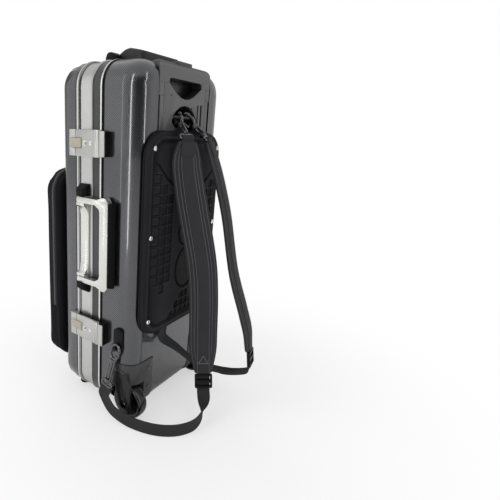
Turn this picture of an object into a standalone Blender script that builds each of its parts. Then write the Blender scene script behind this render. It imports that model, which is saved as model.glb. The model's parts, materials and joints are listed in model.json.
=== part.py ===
"""Alto saxophone case: two hard shells in an aluminium frame, with a pull-out trolley,
two corner wheels, lever latches, two folding handles, a front pocket and two shoulder straps.

The case stands on its wheels and front feet. X runs across the case, with the latches and the
side handle at +X and the hinges at -X. Y runs from the pocket at the front (-Y) to the trolley
and the straps at the back (+Y). Z is up and the floor is z = 0. Y = 0 is the middle of the lid's
frame rail. Sizes are in millimetres and MM turns them into metres.
"""

from math import atan2, cos, hypot, pi, radians, sin, sqrt

import bmesh
import bpy
from mathutils import Matrix, Vector

MM = 0.001

# Gaps
GAP = 0.3
RUN_GAP = 0.5

# Body outline, measured on the outer face of the frame rails
BODY_WIDTH = 268.0
BODY_HEIGHT = 650.0
GROUND_GAP = 13.0
RAIL_CORNER = 48.0
CORNER_STEPS = 8
SMALL_CORNER = 8.0
RAIL_HALF = BODY_WIDTH / 2
BODY_BOTTOM = GROUND_GAP
BODY_TOP = GROUND_GAP + BODY_HEIGHT
MIDDLE_HEIGHT = BODY_BOTTOM + BODY_HEIGHT / 2

# Stations along the depth
LID_FRONT = -51.0
FLANGE_FRONT = -20.0
LID_RAIL_FRONT = -4.0
LID_RAIL_BACK = 4.0
CHANNEL_FRONT = 4.6
BASE_RAIL_FRONT = 31.0
BASE_RAIL_BACK = 37.0
TRIM_FRONT = 53.2
TRIM_BACK = 60.0
BASE_BACK = 138.0

# How far surfaces lie inside the rails
SHELL_INSET = 2.0
CHANNEL_INSET = 2.5
WALL = 3.0
FRAME_LIP = 3.2
LIP_LENGTH = 12.0
TRIM_HEIGHT = 2.1

# Foam linings
LINING_WALL = 9.0
LINING_FLOOR = 8.0
LINING_FRONT = 12.0
LINING_BACK = 106.0

# Recess for the trolley in the back
RECESS_FLOOR = 112.0
RECESS_BOTTOM = 200.0

# Trolley
TROLLEY_WIDTH = 160.0
TROLLEY_FRONT = 114.0
TROLLEY_BACK = 137.5
RECESS_WIDTH = TROLLEY_WIDTH + 4.0
TROLLEY_TRAVEL = 266.0
SEAM_DROP = 38.0
SEAM_HEIGHT = BODY_TOP - SEAM_DROP
GRIP_HEIGHT = 36.0
GRIP_TOP = SEAM_HEIGHT + GRIP_HEIGHT
GRIP_CHAMFER_X = 20.0
GRIP_CHAMFER_Z = 18.0
LEG_WIDTH = 28.0
OPENING_WIDTH = TROLLEY_WIDTH - 2 * LEG_WIDTH
OPENING_RISE = 9.0
OPENING_TOP = SEAM_HEIGHT + OPENING_RISE
OPENING_DIP = 23.0
HOUSING_HEIGHT = 92.0
HOUSING_BOTTOM = SEAM_HEIGHT - HOUSING_HEIGHT
ARCH_RADIUS = 44.0
ARCH_RISE = 15.0
ARCH_CENTRE = HOUSING_BOTTOM + ARCH_RISE
TUBE_EDGE = 13.0
TUBE_X = TROLLEY_WIDTH / 2 - TUBE_EDGE
TUBE_WIDTH = 22.0
TUBE_DEPTH = 13.0
TUBE_Y = 126.0
OUTER_WALL = 1.4
OUTER_BOTTOM = RECESS_BOTTOM + 6.0
TUBE_BOTTOM = OUTER_BOTTOM + 12.0
BUTTON_WIDTH = 44.0
BUTTON_DEPTH = 14.0
BUTTON_RISE = 4.0
BUTTON_POCKET = 9.0
BUTTON_STROKE = 3.0
STRAP_BAR_RISE = 24.0
STRAP_BAR_HEIGHT = ARCH_CENTRE + STRAP_BAR_RISE
STRAP_BAR_Y = 131.5
STRAP_BAR_RADIUS = 3.0

# Wheels
WHEEL_RADIUS = 35.0
WHEEL_Y = 122.0
WHEEL_INNER = RAIL_HALF - 34.0
WHEEL_WIDTH = 24.0
TYRE_DEPTH = 9.0
AXLE_RADIUS = 4.0
ARCH_GAP = 4.0
WHEEL_SEGMENTS = 32
HOUSING_INNER = RAIL_HALF - 68.0
HOUSING_FRONT = 96.0
HOUSING_TOP = 117.0
HOUSING_PROUD = 1.5
HOUSING_CORNER = 11.0
SLOT_INNER = RAIL_HALF - 41.5
SLOT_OUTER = RAIL_HALF - 8.0
CHEEK_REACH = 18.0
CHEEK_TOP = 106.0

# Back pad
PAD_WIDTH = BODY_WIDTH - 32.0
PAD_BOTTOM = 173.0
PAD_TOP = HOUSING_BOTTOM + 13.0
PAD_CORNER = 46.0
PAD_THICK = 19.0

# Pocket
POCKET_WIDTH = BODY_WIDTH + 6.0
POCKET_BOTTOM = 61.0
POCKET_TOP = 471.0
POCKET_TOP_CORNER = 50.0
POCKET_LOW_CORNER = 42.0
POCKET_DEPTH = 47.0
ZIP_DEPTH = 22.0
ZIP_WIDTH = 7.0
ZIP_HEIGHT = 1.4
PULLER_X = 56.0

# Latches
LATCH_HEIGHT = 46.0
UPPER_LATCH = MIDDLE_HEIGHT + 183.0
LOWER_LATCH = MIDDLE_HEIGHT - 170.0
LATCH_TOP_X = RAIL_HALF + 9.2
LATCH_PLATE = 3.2
LATCH_FRONT = -15.0
LATCH_SEAM = 3.0
LATCH_AXIS_X = RAIL_HALF + 8.4
LATCH_AXIS_Y = 60.0
LATCH_BARREL = 3.2
LATCH_BLOCK_FRONT = 21.0
LATCH_BLOCK_BACK = 76.0
KEY_WIDTH = 17.0
KEY_FRONT = -9.0
KEY_BACK = 18.5
KEY_RISE = 1.6
KEY_BOTTOM_X = RAIL_HALF + 3.8
KEY_STROKE = 2.2

# Side handle
SIDE_HANDLE_Z = MIDDLE_HEIGHT + 7.0
HANDLE_AXIS_Y = 17.0
HANDLE_LIFT = 11.5
HANDLE_HALF = 86.0
HANDLE_ARM = 76.0
ARM_WIDTH = 10.0
HANDLE_REACH = 63.0
BAR_WIDTH = 17.0
BAR_THICK = 11.0
BLOCK_INNER = 82.0
BLOCK_OUTER = 104.0
PIN_RADIUS = 3.0
PIN_LENGTH = 9.0
RUBBER_WIDTH = 10.0

# Top handle
TOP_HANDLE_X = -6.0
TOP_HALF = 58.0
TOP_ARM = 50.0
TOP_BLOCK_INNER = 58.0
TOP_BLOCK_OUTER = 78.0
TOP_REACH = 52.0

# Hinges
HINGE_AXIS_X = -RAIL_HALF - 5.5
HINGE_AXIS_Y = 4.3
HINGE_LENGTH = 60.0
HINGE_SPREAD = 125.0
KNUCKLE_RADIUS = 3.7
KNUCKLE_LENGTH = 20.0
HINGE_PIN = 1.5

# Feet
FOOT_RADIUS = 10.0
FOOT_X = 90.0
FOOT_Y = -28.0
SIDE_FOOT_TIP = RAIL_HALF + 26.0
SIDE_FOOT_SPREAD = 176.0

# Shoulder straps
PAD_STRAP_WIDTH = 54.0
PAD_STRAP_THICK = 9.0
WEB_WIDTH = 25.0
WEB_THICK = 2.0
SLIDER_LENGTH = 30.0
SLIDER_WIDTH = 34.0
SLIDER_THICK = 5.0
HOOK_RING_LENGTH = 34.0
HOOK_RING_WIDTH = 19.0
HOOK_WIRE = 4.5
HOOK_THICK = 5.0
HOOK_EYE_WIDTH = 27.0
HOOK_EYE_LENGTH = 12.0
FIRST_HOOK_X = TUBE_X - 47.0
SECOND_HOOK_X = 61.0 - TUBE_X
TOP_HOOK_SEAT = 1.5
LOW_HOOK_SEAT = 0.6
HOOK_REST = 3.7
END_GAP = 0.5
STUD_Z = 153.0
STUD_RADIUS = 3.0
STUD_LENGTH = 8.4
TAB_Y = 107.0
TAB_Z = 168.0
TAB_WIDTH = 21.0
TAB_HEIGHT = 44.0
TAB_THICK = 3.4

# Derived sizes
SHELL_X = RAIL_HALF - SHELL_INSET
CHANNEL_X = RAIL_HALF - CHANNEL_INSET
CHANNEL_Z = BODY_TOP - CHANNEL_INSET
AXLE_Z = WHEEL_RADIUS
WHEEL_MIDDLE = WHEEL_INNER + WHEEL_WIDTH / 2
HANDLE_AXIS_X = CHANNEL_X + HANDLE_LIFT
TOP_AXIS_Z = CHANNEL_Z + HANDLE_LIFT

COLOURS = {
    "carbon": ((0.035, 0.036, 0.040), 0.22, 0.2),
    "aluminium": ((0.70, 0.70, 0.69), 0.32, 1.0),
    "bright_metal": ((0.82, 0.82, 0.80), 0.22, 1.0),
    "silver_plastic": ((0.78, 0.78, 0.76), 0.35, 0.6),
    "grey_plastic": ((0.13, 0.13, 0.135), 0.55, 0.0),
    "black_plastic": ((0.018, 0.018, 0.020), 0.42, 0.0),
    "rubber": ((0.015, 0.015, 0.016), 0.7, 0.0),
    "tube": ((0.24, 0.24, 0.25), 0.35, 0.9),
    "foam": ((0.05, 0.05, 0.055), 0.95, 0.0),
    "pocket_cloth": ((0.012, 0.012, 0.016), 0.9, 0.0),
    "zip": ((0.03, 0.03, 0.032), 0.6, 0.0),
    "webbing": ((0.02, 0.02, 0.022), 0.85, 0.0),
    "gunmetal": ((0.18, 0.18, 0.19), 0.3, 1.0),
    "key_beige": ((0.55, 0.51, 0.42), 0.4, 0.6),
    "hub": ((0.05, 0.05, 0.055), 0.35, 0.0),
}

ROOT = {}


def clear_scene():
    """Take every object out of the scene."""
    for item in list(bpy.data.objects):
        bpy.data.objects.remove(item, do_unlink=True)


def material(name):
    """One Principled material of the given colour."""
    made = bpy.data.materials.get(name)
    if made:
        return made
    colour, rough, metal = COLOURS[name]
    made = bpy.data.materials.new(name)
    made.use_nodes = True
    shader = made.node_tree.nodes["Principled BSDF"]
    shader.inputs["Base Color"].default_value = (*colour, 1.0)
    shader.inputs["Roughness"].default_value = rough
    shader.inputs["Metallic"].default_value = metal
    return made


def add_empty(name, parent, at):
    """An empty at a place in the case, in millimetres."""
    empty = bpy.data.objects.new(name, None)
    bpy.context.collection.objects.link(empty)
    place = Vector(at) * MM
    if parent:
        empty.parent = parent
        place -= ROOT[parent.name]
    empty.location = place
    ROOT[name] = Vector(at) * MM
    return empty


def raw_object(name, bm):
    """A mesh object from a bmesh in millimetres, its origin at the case's origin."""
    bmesh.ops.recalc_face_normals(bm, faces=bm.faces)
    bm.transform(Matrix.Scale(MM, 4))
    mesh = bpy.data.meshes.new(name)
    bm.to_mesh(mesh)
    bm.free()
    item = bpy.data.objects.new(name, mesh)
    bpy.context.collection.objects.link(item)
    return item


def combine(item, tool_bm, operation="DIFFERENCE"):
    """Cut, join or intersect an object with another solid."""
    tool = tool_bm if isinstance(tool_bm, bpy.types.Object) else raw_object("tool", tool_bm)
    step = item.modifiers.new("combine", "BOOLEAN")
    step.operation = operation
    step.solver = "EXACT"
    step.object = tool
    bpy.context.view_layer.update()
    ready = item.evaluated_get(bpy.context.evaluated_depsgraph_get())
    mesh = bpy.data.meshes.new_from_object(ready)
    item.modifiers.clear()
    old = item.data
    item.data = mesh
    bpy.data.meshes.remove(old)
    bpy.data.objects.remove(tool, do_unlink=True)
    return item


def finish(item, body, surface, at=None, smooth=40):
    """Give an object its material, parent and origin, and smooth its round faces."""
    origin = ROOT[body.name] if at is None else Vector(at) * MM
    item.data.transform(Matrix.Translation(-origin))
    item.parent = body
    item.location = origin - ROOT[body.name]
    item.data.materials.clear()
    item.data.materials.append(material(surface))
    item.data.shade_smooth()
    item.data.set_sharp_from_angle(angle=radians(smooth))
    return item


def bevel(item, width, segments=1, angle=40):
    """Round off the sharp edges of an object."""
    step = item.modifiers.new("edges", "BEVEL")
    step.width = width * MM
    step.segments = segments
    step.limit_method = "ANGLE"
    step.angle_limit = radians(angle)
    return item


def outline(half_width, low, high, top_corner, low_corner, y, steps=CORNER_STEPS):
    """Points round an upright rectangle with rounded corners, at one depth."""
    corners = (
        (half_width - top_corner, high - top_corner, top_corner, 0),
        (top_corner - half_width, high - top_corner, top_corner, 90),
        (low_corner - half_width, low + low_corner, low_corner, 180),
        (half_width - low_corner, low + low_corner, low_corner, 270),
    )
    points = []
    for x, z, radius, start in corners:
        for step in range(steps + 1):
            angle = radians(start + 90 * step / steps)
            points.append((x + radius * cos(angle), y, z + radius * sin(angle)))
    return points


def body_outline(y, side, end=None, low_corner=None):
    """The case's outline, drawn in from the rails at the sides and at the ends."""
    end = side if end is None else end
    corner = max(RAIL_CORNER - max(side, end), SMALL_CORNER)
    low_corner = corner if low_corner is None else low_corner
    return outline(RAIL_HALF - side, BODY_BOTTOM + end, BODY_TOP - end, corner, low_corner, y)


def loft(loops, closed=False):
    """A solid through a row of loops with equal counts, capped unless it closes on itself."""
    bm = bmesh.new()
    rows = [[bm.verts.new(point) for point in loop] for loop in loops]
    count = len(rows[0])
    pairs = list(zip(rows, rows[1:]))
    if closed:
        pairs.append((rows[-1], rows[0]))
    for first, second in pairs:
        for i in range(count):
            j = (i + 1) % count
            bm.faces.new((first[i], first[j], second[j], second[i]))
    if not closed:
        bm.faces.new(rows[0])
        bm.faces.new(rows[-1])
    return bm


def extrude(points, axis, start, stop):
    """A flat outline pushed along an axis from one value to another."""
    order = {"X": (0, 1, 2), "Y": (1, 0, 2), "Z": (2, 0, 1)}[axis]
    bm = bmesh.new()
    ends = []
    for value in (start, stop):
        row = []
        for first, second in points:
            place = [0.0, 0.0, 0.0]
            place[order[0]] = value
            place[order[1]] = first
            place[order[2]] = second
            row.append(bm.verts.new(place))
        ends.append(row)
    count = len(points)
    for i in range(count):
        j = (i + 1) % count
        bm.faces.new((ends[0][i], ends[0][j], ends[1][j], ends[1][i]))
    bm.faces.new(ends[0])
    bm.faces.new(ends[1])
    return bm


def block(low, high):
    """A box between two corners."""
    points = [(low[1], low[2]), (high[1], low[2]), (high[1], high[2]), (low[1], high[2])]
    return extrude(points, "X", low[0], high[0])


def turned(profile, axis, centre, segments):
    """A ring or disc turned about an axis from a closed list of (radius, along) points."""
    bm = bmesh.new()
    places = []
    for radius, along in profile:
        if axis == "X":
            places.append((along, centre[0] + radius, centre[1]))
        elif axis == "Z":
            places.append((centre[0] + radius, centre[1], along))
        else:
            places.append((centre[0] + radius, along, centre[1]))
    verts = [bm.verts.new(place) for place in places]
    edges = [bm.edges.new((verts[i], verts[(i + 1) % len(verts)])) for i in range(len(verts))]
    turn = {"X": ((0, *centre), (1, 0, 0)), "Y": ((centre[0], 0, centre[1]), (0, 1, 0)),
            "Z": ((*centre, 0), (0, 0, 1))}[axis]
    bmesh.ops.spin(bm, geom=verts + edges, cent=turn[0], axis=turn[1], angle=2 * pi,
                   steps=segments, use_merge=True)
    bmesh.ops.remove_doubles(bm, verts=bm.verts, dist=0.001)
    bmesh.ops.dissolve_degenerate(bm, edges=bm.edges, dist=0.001)
    return bm


def rod(radius, axis, centre, start, stop, segments=12):
    """A plain cylinder along an axis."""
    points = []
    for step in range(segments):
        angle = 2 * pi * step / segments
        points.append((centre[0] + radius * cos(angle), centre[1] + radius * sin(angle)))
    return extrude(points, axis, start, stop)


def smooth_route(points, steps):
    """A smooth curve through route points, as a list of vectors."""
    route = [Vector(point) for point in points]
    route = [route[0] * 2 - route[1]] + route + [route[-1] * 2 - route[-2]]
    made = []
    for i in range(1, len(route) - 2):
        before, first, second, after = route[i - 1:i + 3]
        for step in range(steps):
            t = step / steps
            made.append(0.5 * ((2 * first) + (second - before) * t
                               + (2 * before - 5 * first + 4 * second - after) * t * t
                               + (3 * first - before - 3 * second + after) * t * t * t))
    made.append(route[-2])
    return made


def band(points, widths, width, thick, rounding, steps=2, taper=None):
    """A flat strap along a route, its width turned as the width vectors say."""
    route = smooth_route(points, steps)
    across = smooth_route(widths, steps)
    loops = []
    for i, place in enumerate(route):
        ahead = route[min(i + 1, len(route) - 1)] - route[max(i - 1, 0)]
        ahead.normalize()
        side = across[i] - ahead * across[i].dot(ahead)
        side.normalize()
        normal = ahead.cross(side)
        half = width / 2 * (taper(i / (len(route) - 1)) if taper else 1.0)
        deep = thick / 2
        section = [(-half, -deep + rounding), (-half + rounding, -deep), (half - rounding, -deep),
                   (half, -deep + rounding), (half, deep - rounding), (half - rounding, deep),
                   (-half + rounding, deep), (-half, deep - rounding)]
        if rounding == 0:
            section = [(-half, -deep), (half, -deep), (half, deep), (-half, deep)]
        loops.append([place + side * u + normal * v for u, v in section])
    return loft(loops)


def plate_between(start, stop, across, outline_points, thick):
    """A flat plate whose outline lies along a line: points are (along, sideways)."""
    first = Vector(start)
    ahead = (Vector(stop) - first).normalized()
    side = Vector(across)
    side = (side - ahead * side.dot(ahead)).normalized()
    normal = ahead.cross(side)
    bm = bmesh.new()
    ends = []
    for level in (-thick / 2, thick / 2):
        ends.append([bm.verts.new(first + ahead * u + side * v + normal * level)
                     for u, v in outline_points])
    count = len(outline_points)
    for i in range(count):
        j = (i + 1) % count
        bm.faces.new((ends[0][i], ends[0][j], ends[1][j], ends[1][i]))
    bm.faces.new(ends[0])
    bm.faces.new(ends[1])
    return bm


def oval(length, width, at=0.0, steps=12):
    """Points round an oval with straight sides, as (along, sideways)."""
    radius = width / 2
    points = []
    for centre, turn in ((length / 2 - radius, -90), (radius - length / 2, 90)):
        for step in range(steps // 2 + 1):
            angle = radians(turn + 180 * step / (steps // 2))
            points.append((at + centre + radius * cos(angle), radius * sin(angle)))
    return points


# Shells, frame and linings


def lid_shell(body):
    """The shallow front shell with its stepped rim."""
    inset = SHELL_INSET
    front = LID_FRONT
    back = LID_RAIL_FRONT - GAP
    loops = [
        body_outline(front, 46, 52),
        body_outline(front + 0.6, 28, 36),
        body_outline(front + 3.0, 15, 23),
        body_outline(front + 7.5, 7.5, 13.5),
        body_outline(front + 14.5, 3.8, 7.4),
        body_outline(FLANGE_FRONT - 3.0, 3.4, 5.4),
        body_outline(FLANGE_FRONT - 0.6, 3.4, 5.2),
        body_outline(FLANGE_FRONT, inset, inset + 0.2),
        body_outline(back, inset),
        body_outline(back, inset + WALL),
        body_outline(FLANGE_FRONT, inset + WALL, inset + WALL + 0.2),
        body_outline(FLANGE_FRONT - 0.8, 6.4, 8.2),
        body_outline(front + 15.0, 7.0, 10.6),
        body_outline(front + 9.5, 10.5, 16.6),
        body_outline(front + 5.8, 17.5, 25.6),
        body_outline(front + 3.6, 29, 37),
        body_outline(front + 3.0, 46, 52),
    ]
    return finish(raw_object("lid_shell", loft(loops)), body, "carbon")


def lid_frame(body):
    """The lid's aluminium rail with the lip that the shell is held on."""
    lip = SHELL_INSET + WALL + GAP
    inner = lip + FRAME_LIP
    profile = [
        (LID_RAIL_FRONT, 1.4), (LID_RAIL_FRONT + 1.2, 0.0), (LID_RAIL_BACK - 1.2, 0.0),
        (LID_RAIL_BACK, 1.4), (LID_RAIL_BACK, inner), (LID_RAIL_FRONT - LIP_LENGTH, inner),
        (LID_RAIL_FRONT - LIP_LENGTH, lip), (LID_RAIL_FRONT, lip),
    ]
    loops = [body_outline(y, side) for y, side in profile]
    return finish(raw_object("lid_frame", loft(loops, True)), body, "aluminium")


def lid_lining(body):
    """Foam that lines the lid."""
    edge = LINING_WALL + RUN_GAP
    back = LID_RAIL_BACK - 1.0
    front = LID_FRONT + WALL + RUN_GAP
    loops = [
        body_outline(front, 48, 54),
        body_outline(front + 0.8, 30, 38),
        body_outline(front + 3.0, 18.5, 27),
        body_outline(front + 7.0, 12, 19),
        body_outline(front + 14.0, edge, 12.5),
        body_outline(back, edge),
        body_outline(back, edge + LINING_FLOOR),
        body_outline(front + 15.0, edge + LINING_FLOOR, 12.5 + LINING_FLOOR),
        body_outline(front + LINING_FLOOR, edge + LINING_FLOOR + 6, 26.5),
        body_outline(front + LINING_FLOOR, 50, 56),
    ]
    return finish(raw_object("lid_lining", loft(loops)), body, "foam")


def base_frame(body):
    """The deep aluminium channel and the rail behind it, with the lip inside the back shell."""
    lip = SHELL_INSET + WALL + GAP
    inner = lip + FRAME_LIP
    profile = [
        (CHANNEL_FRONT, 3.4), (CHANNEL_FRONT + 0.9, CHANNEL_INSET),
        (BASE_RAIL_FRONT, CHANNEL_INSET), (BASE_RAIL_FRONT + 1.2, 0.6),
        (BASE_RAIL_FRONT + 2.2, 0.0), (BASE_RAIL_BACK - 1.2, 0.0), (BASE_RAIL_BACK, 1.2),
        (BASE_RAIL_BACK, lip), (BASE_RAIL_BACK + LIP_LENGTH, lip),
        (BASE_RAIL_BACK + LIP_LENGTH, inner), (CHANNEL_FRONT, inner),
    ]
    loops = [body_outline(y, side) for y, side in profile]
    return finish(raw_object("base_frame", loft(loops, True)), body, "aluminium")


def base_trim(body):
    """The bright strip round the back shell."""
    low = SHELL_INSET - GAP
    top = SHELL_INSET - TRIM_HEIGHT
    profile = [
        (TRIM_FRONT, low), (TRIM_FRONT + 0.8, top + 0.6), (TRIM_FRONT + 2.2, top),
        (TRIM_BACK - 2.0, top), (TRIM_BACK - 0.7, top + 0.6), (TRIM_BACK, low),
    ]
    loops = [body_outline(y, side) for y, side in profile]
    return finish(raw_object("base_trim", loft(loops, True)), body, "bright_metal")


def back_profile(grow=0.0, low_corner=None):
    """Loops of the back shell's outside, from its rim to the back, grown outwards if asked."""
    inset = SHELL_INSET - grow
    back = BASE_BACK + grow
    groove = inset + 1.2
    stations = [
        (BASE_RAIL_BACK + GAP, inset), (TRIM_BACK + 0.5, inset), (TRIM_BACK + 1.0, groove),
        (TRIM_BACK + 2.6, groove), (TRIM_BACK + 3.2, inset), (BASE_BACK - 36, inset),
        (BASE_BACK - 24 + grow * 0.4, inset + 2.0), (BASE_BACK - 14 + grow * 0.7, inset + 6.2),
        (BASE_BACK - 6 + grow * 0.9, inset + 13.0), (back - 1.6, inset + 22.0),
        (back, inset + 34.0), (back, inset + 60.0),
    ]
    return [body_outline(y, side, low_corner=low_corner) for y, side in stations]


def recess_tool(grow):
    """The space that the trolley stands in, grown on all sides but the back."""
    half = RECESS_WIDTH / 2 + grow
    return block((-half, RECESS_FLOOR - grow, RECESS_BOTTOM - grow),
                 (half, BASE_BACK + 20, BODY_TOP + 20))


def corner_tool(side, grow):
    """The corner that a wheel housing fills."""
    xs = sorted((side * (HOUSING_INNER - GAP - grow), side * (RAIL_HALF + 20)))
    return block((xs[0], HOUSING_FRONT - GAP - grow, -5.0),
                 (xs[1], BASE_BACK + 20, HOUSING_TOP + GAP + grow))


def arch_tool(side, grow):
    """The round space for a wheel, grown by a distance."""
    return rod(WHEEL_RADIUS + ARCH_GAP + grow, "X", (WHEEL_Y, AXLE_Z),
               side * (SLOT_INNER - grow), side * (RAIL_HALF + 20), WHEEL_SEGMENTS)


def base_shell(body):
    """The deep back shell, hollow, with the trolley recess and the two wheel corners."""
    edge = SHELL_INSET + WALL
    back = BASE_BACK - WALL
    hollow = raw_object("hollow", loft([
        body_outline(BASE_RAIL_BACK - 5, edge),
        body_outline(BASE_BACK - 36, edge),
        body_outline(BASE_BACK - 26, edge + 1.7),
        body_outline(BASE_BACK - 16.5, edge + 5.4),
        body_outline(BASE_BACK - 9, edge + 11.6),
        body_outline(back - 1.8, edge + 20.0),
        body_outline(back, edge + 31.0),
        body_outline(back, edge + 58.0),
    ]))
    combine(hollow, recess_tool(WALL))
    for side in (1, -1):
        combine(hollow, corner_tool(side, WALL))
        combine(hollow, arch_tool(side, WALL))
    shell = raw_object("base_shell", loft(back_profile()))
    combine(shell, hollow)
    combine(shell, recess_tool(0.0))
    for side in (1, -1):
        combine(shell, corner_tool(side, 0.0))
        combine(shell, arch_tool(side, 0.0))
    return finish(shell, body, "carbon")


def base_lining(body):
    """The foam tray that holds the instrument."""
    edge = LINING_WALL
    wall = LINING_FLOOR + 4
    floor = LINING_BACK - LINING_FLOOR
    tray = raw_object("base_lining", loft([
        body_outline(LINING_BACK, 30),
        body_outline(LINING_BACK, edge + 1.5),
        body_outline(LINING_BACK - 4, edge),
        body_outline(LINING_FRONT, edge),
        body_outline(LINING_FRONT, edge + wall),
        body_outline(floor - 14, edge + wall),
        body_outline(floor - 4, edge + wall + 4),
        body_outline(floor, edge + wall + 14),
        body_outline(floor, edge + wall + 30),
    ]))
    for side in (1, -1):
        combine(tray, corner_tool(side, WALL + RUN_GAP))
        combine(tray, arch_tool(side, WALL + RUN_GAP))
    return finish(tray, body, "foam")


# Pocket and pad


def pocket_loop(y, out):
    """The pocket's outline at one depth, pushed out by a distance."""
    return outline(POCKET_WIDTH / 2 + out, POCKET_BOTTOM - out, POCKET_TOP + out,
                   max(POCKET_TOP_CORNER + out, SMALL_CORNER),
                   max(POCKET_LOW_CORNER + out, SMALL_CORNER), y)


def pocket(body):
    """The padded pocket on the lid, one closed solid with rounded gussets."""
    back = LID_FRONT - GAP
    front = back - POCKET_DEPTH
    loops = [
        pocket_loop(back, -30), pocket_loop(back, -6), pocket_loop(back - 3, -2),
        pocket_loop(back - 9, 0), pocket_loop(back - POCKET_DEPTH * 0.72, 0),
        pocket_loop(front + 7, -2.5), pocket_loop(front + 3.5, -7), pocket_loop(front + 2.5, -12),
        pocket_loop(front + 1, -26), pocket_loop(front, -48),
    ]
    return finish(raw_object("pocket", loft(loops)), body, "pocket_cloth", smooth=60)


def pocket_zip(body):
    """The zip strip that runs up one side of the pocket, over its top and down the other."""
    middle = LID_FRONT - GAP - ZIP_DEPTH
    first = pocket_loop(middle - ZIP_WIDTH / 2, GAP)
    second = pocket_loop(middle - ZIP_WIDTH / 2, GAP + ZIP_HEIGHT)
    count = 2 * (CORNER_STEPS + 1)
    low = POCKET_BOTTOM + (POCKET_TOP - POCKET_BOTTOM) * 0.25
    loops = []
    for i in range(-1, count + 1):
        pair = []
        for row in (first, second):
            x, y, z = row[min(max(i, 0), count - 1)]
            if i in (-1, count):
                z = low
            pair.append((x, z))
        (ax, az), (bx, bz) = pair
        y = middle - ZIP_WIDTH / 2
        loops.append([(ax, y, az), (bx, y, bz), (bx, y + ZIP_WIDTH, bz), (ax, y + ZIP_WIDTH, az)])
    return finish(raw_object("pocket_zip", loft(loops)), body, "zip")


def zip_puller(body):
    """The pair of zip sliders closed against each other, with their tab."""
    middle = LID_FRONT - GAP - ZIP_DEPTH
    low = POCKET_TOP + GAP + ZIP_HEIGHT + GAP
    made = raw_object("zip_puller", block((PULLER_X - 10, middle - 4, low),
                                          (PULLER_X + 10, middle + 4, low + 3.5)))
    combine(made, block((PULLER_X + 6, middle - 2.5, low + 1.2),
                        (PULLER_X + 30, middle + 2.5, low + 3.0)), "UNION")
    return finish(bevel(made, 0.5), body, "gunmetal")


def pad_loop(y, out):
    """The back pad's outline at one depth."""
    corner = max(PAD_CORNER + out, SMALL_CORNER)
    return outline(PAD_WIDTH / 2 + out, PAD_BOTTOM - out, PAD_TOP + out, corner, corner, y)


def back_pad(body):
    """The moulded pad over the trolley: a rim, a stitched channel and a raised field."""
    back = BASE_BACK + GAP
    face = back + PAD_THICK
    loops = [
        pad_loop(back, -24), pad_loop(back, 0), pad_loop(face - 9, 0), pad_loop(face - 6.5, -2.5),
        pad_loop(face - 6, -6), pad_loop(face - 6, -13), pad_loop(face - 8.5, -15),
        pad_loop(face - 8.5, -18), pad_loop(face - 3, -23), pad_loop(face - 0.6, -31),
        pad_loop(face, -46), pad_loop(face, -70),
    ]
    return finish(raw_object("back_pad", loft(loops)), body, "foam", smooth=60)


# Trolley


def tube_outline(grow):
    """The trolley tube's flattened section, grown by a distance."""
    half, deep = TUBE_WIDTH / 2 + grow, TUBE_DEPTH / 2 + grow
    radius = min(4.0 + grow, deep)
    points = []
    for x, y, start in ((half - radius, deep - radius, 0), (radius - half, deep - radius, 90),
                        (radius - half, radius - deep, 180), (half - radius, radius - deep, 270)):
        for step in range(3):
            angle = radians(start + 45 * step)
            points.append((x + radius * cos(angle), y + radius * sin(angle)))
    return points


def tube_solid(side, grow, low, high):
    """A stretch of the trolley tube's shape."""
    points = [(side * TUBE_X + x, TUBE_Y + y) for x, y in tube_outline(grow)]
    return extrude(points, "Z", low, high)


def trolley_grip(body):
    """The grip with its two legs, cut in one piece, with a pocket for the button."""
    half = TROLLEY_WIDTH / 2
    inner = OPENING_WIDTH / 2
    points = [
        (half, SEAM_HEIGHT + GAP), (half, GRIP_TOP - GRIP_CHAMFER_Z),
        (half - 5, GRIP_TOP - GRIP_CHAMFER_Z + 8), (half - GRIP_CHAMFER_X, GRIP_TOP - 1.5),
        (half - GRIP_CHAMFER_X - 8, GRIP_TOP),
    ]
    points += [(-x, z) for x, z in reversed(points)]
    hole = [(inner, SEAM_HEIGHT + GAP), (inner - 2, OPENING_TOP - 4), (inner - 8, OPENING_TOP)]
    points += [(-x, z) for x, z in hole] + list(reversed(hole))
    made = raw_object("trolley_grip", extrude(points, "Y", TROLLEY_FRONT, TROLLEY_BACK))
    width, depth = BUTTON_WIDTH / 2 + RUN_GAP, BUTTON_DEPTH / 2 + RUN_GAP
    combine(made, block((-width, TUBE_Y - depth, GRIP_TOP - BUTTON_POCKET),
                        (width, TUBE_Y + depth, GRIP_TOP + 10)))
    return finish(bevel(made, 2.0, 2), body, "grey_plastic")


def trolley_button(body, at):
    """The release button in the top of the grip."""
    width, depth = BUTTON_WIDTH / 2, BUTTON_DEPTH / 2
    low = GRIP_TOP - BUTTON_POCKET + BUTTON_STROKE + 1.0
    made = raw_object("trolley_button", block((-width, TUBE_Y - depth, low),
                                              (width, TUBE_Y + depth, GRIP_TOP + BUTTON_RISE)))
    return finish(bevel(made, 1.2, 2), body, "black_plastic", at)


def trolley_tube_inner(body, side, word):
    """One sliding tube."""
    made = raw_object("trolley_tube_inner_" + word,
                      tube_solid(side, 0.0, TUBE_BOTTOM, SEAM_HEIGHT))
    return finish(made, body, "tube")


def trolley_tube_outer(body, side, word):
    """The fixed tube that a sliding tube runs in."""
    top = HOUSING_BOTTOM - GAP
    made = raw_object("trolley_tube_outer_" + word,
                      tube_solid(side, RUN_GAP + OUTER_WALL, OUTER_BOTTOM, top))
    combine(made, tube_solid(side, RUN_GAP, OUTER_BOTTOM + 4, top + 5))
    return finish(made, body, "black_plastic")


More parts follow.
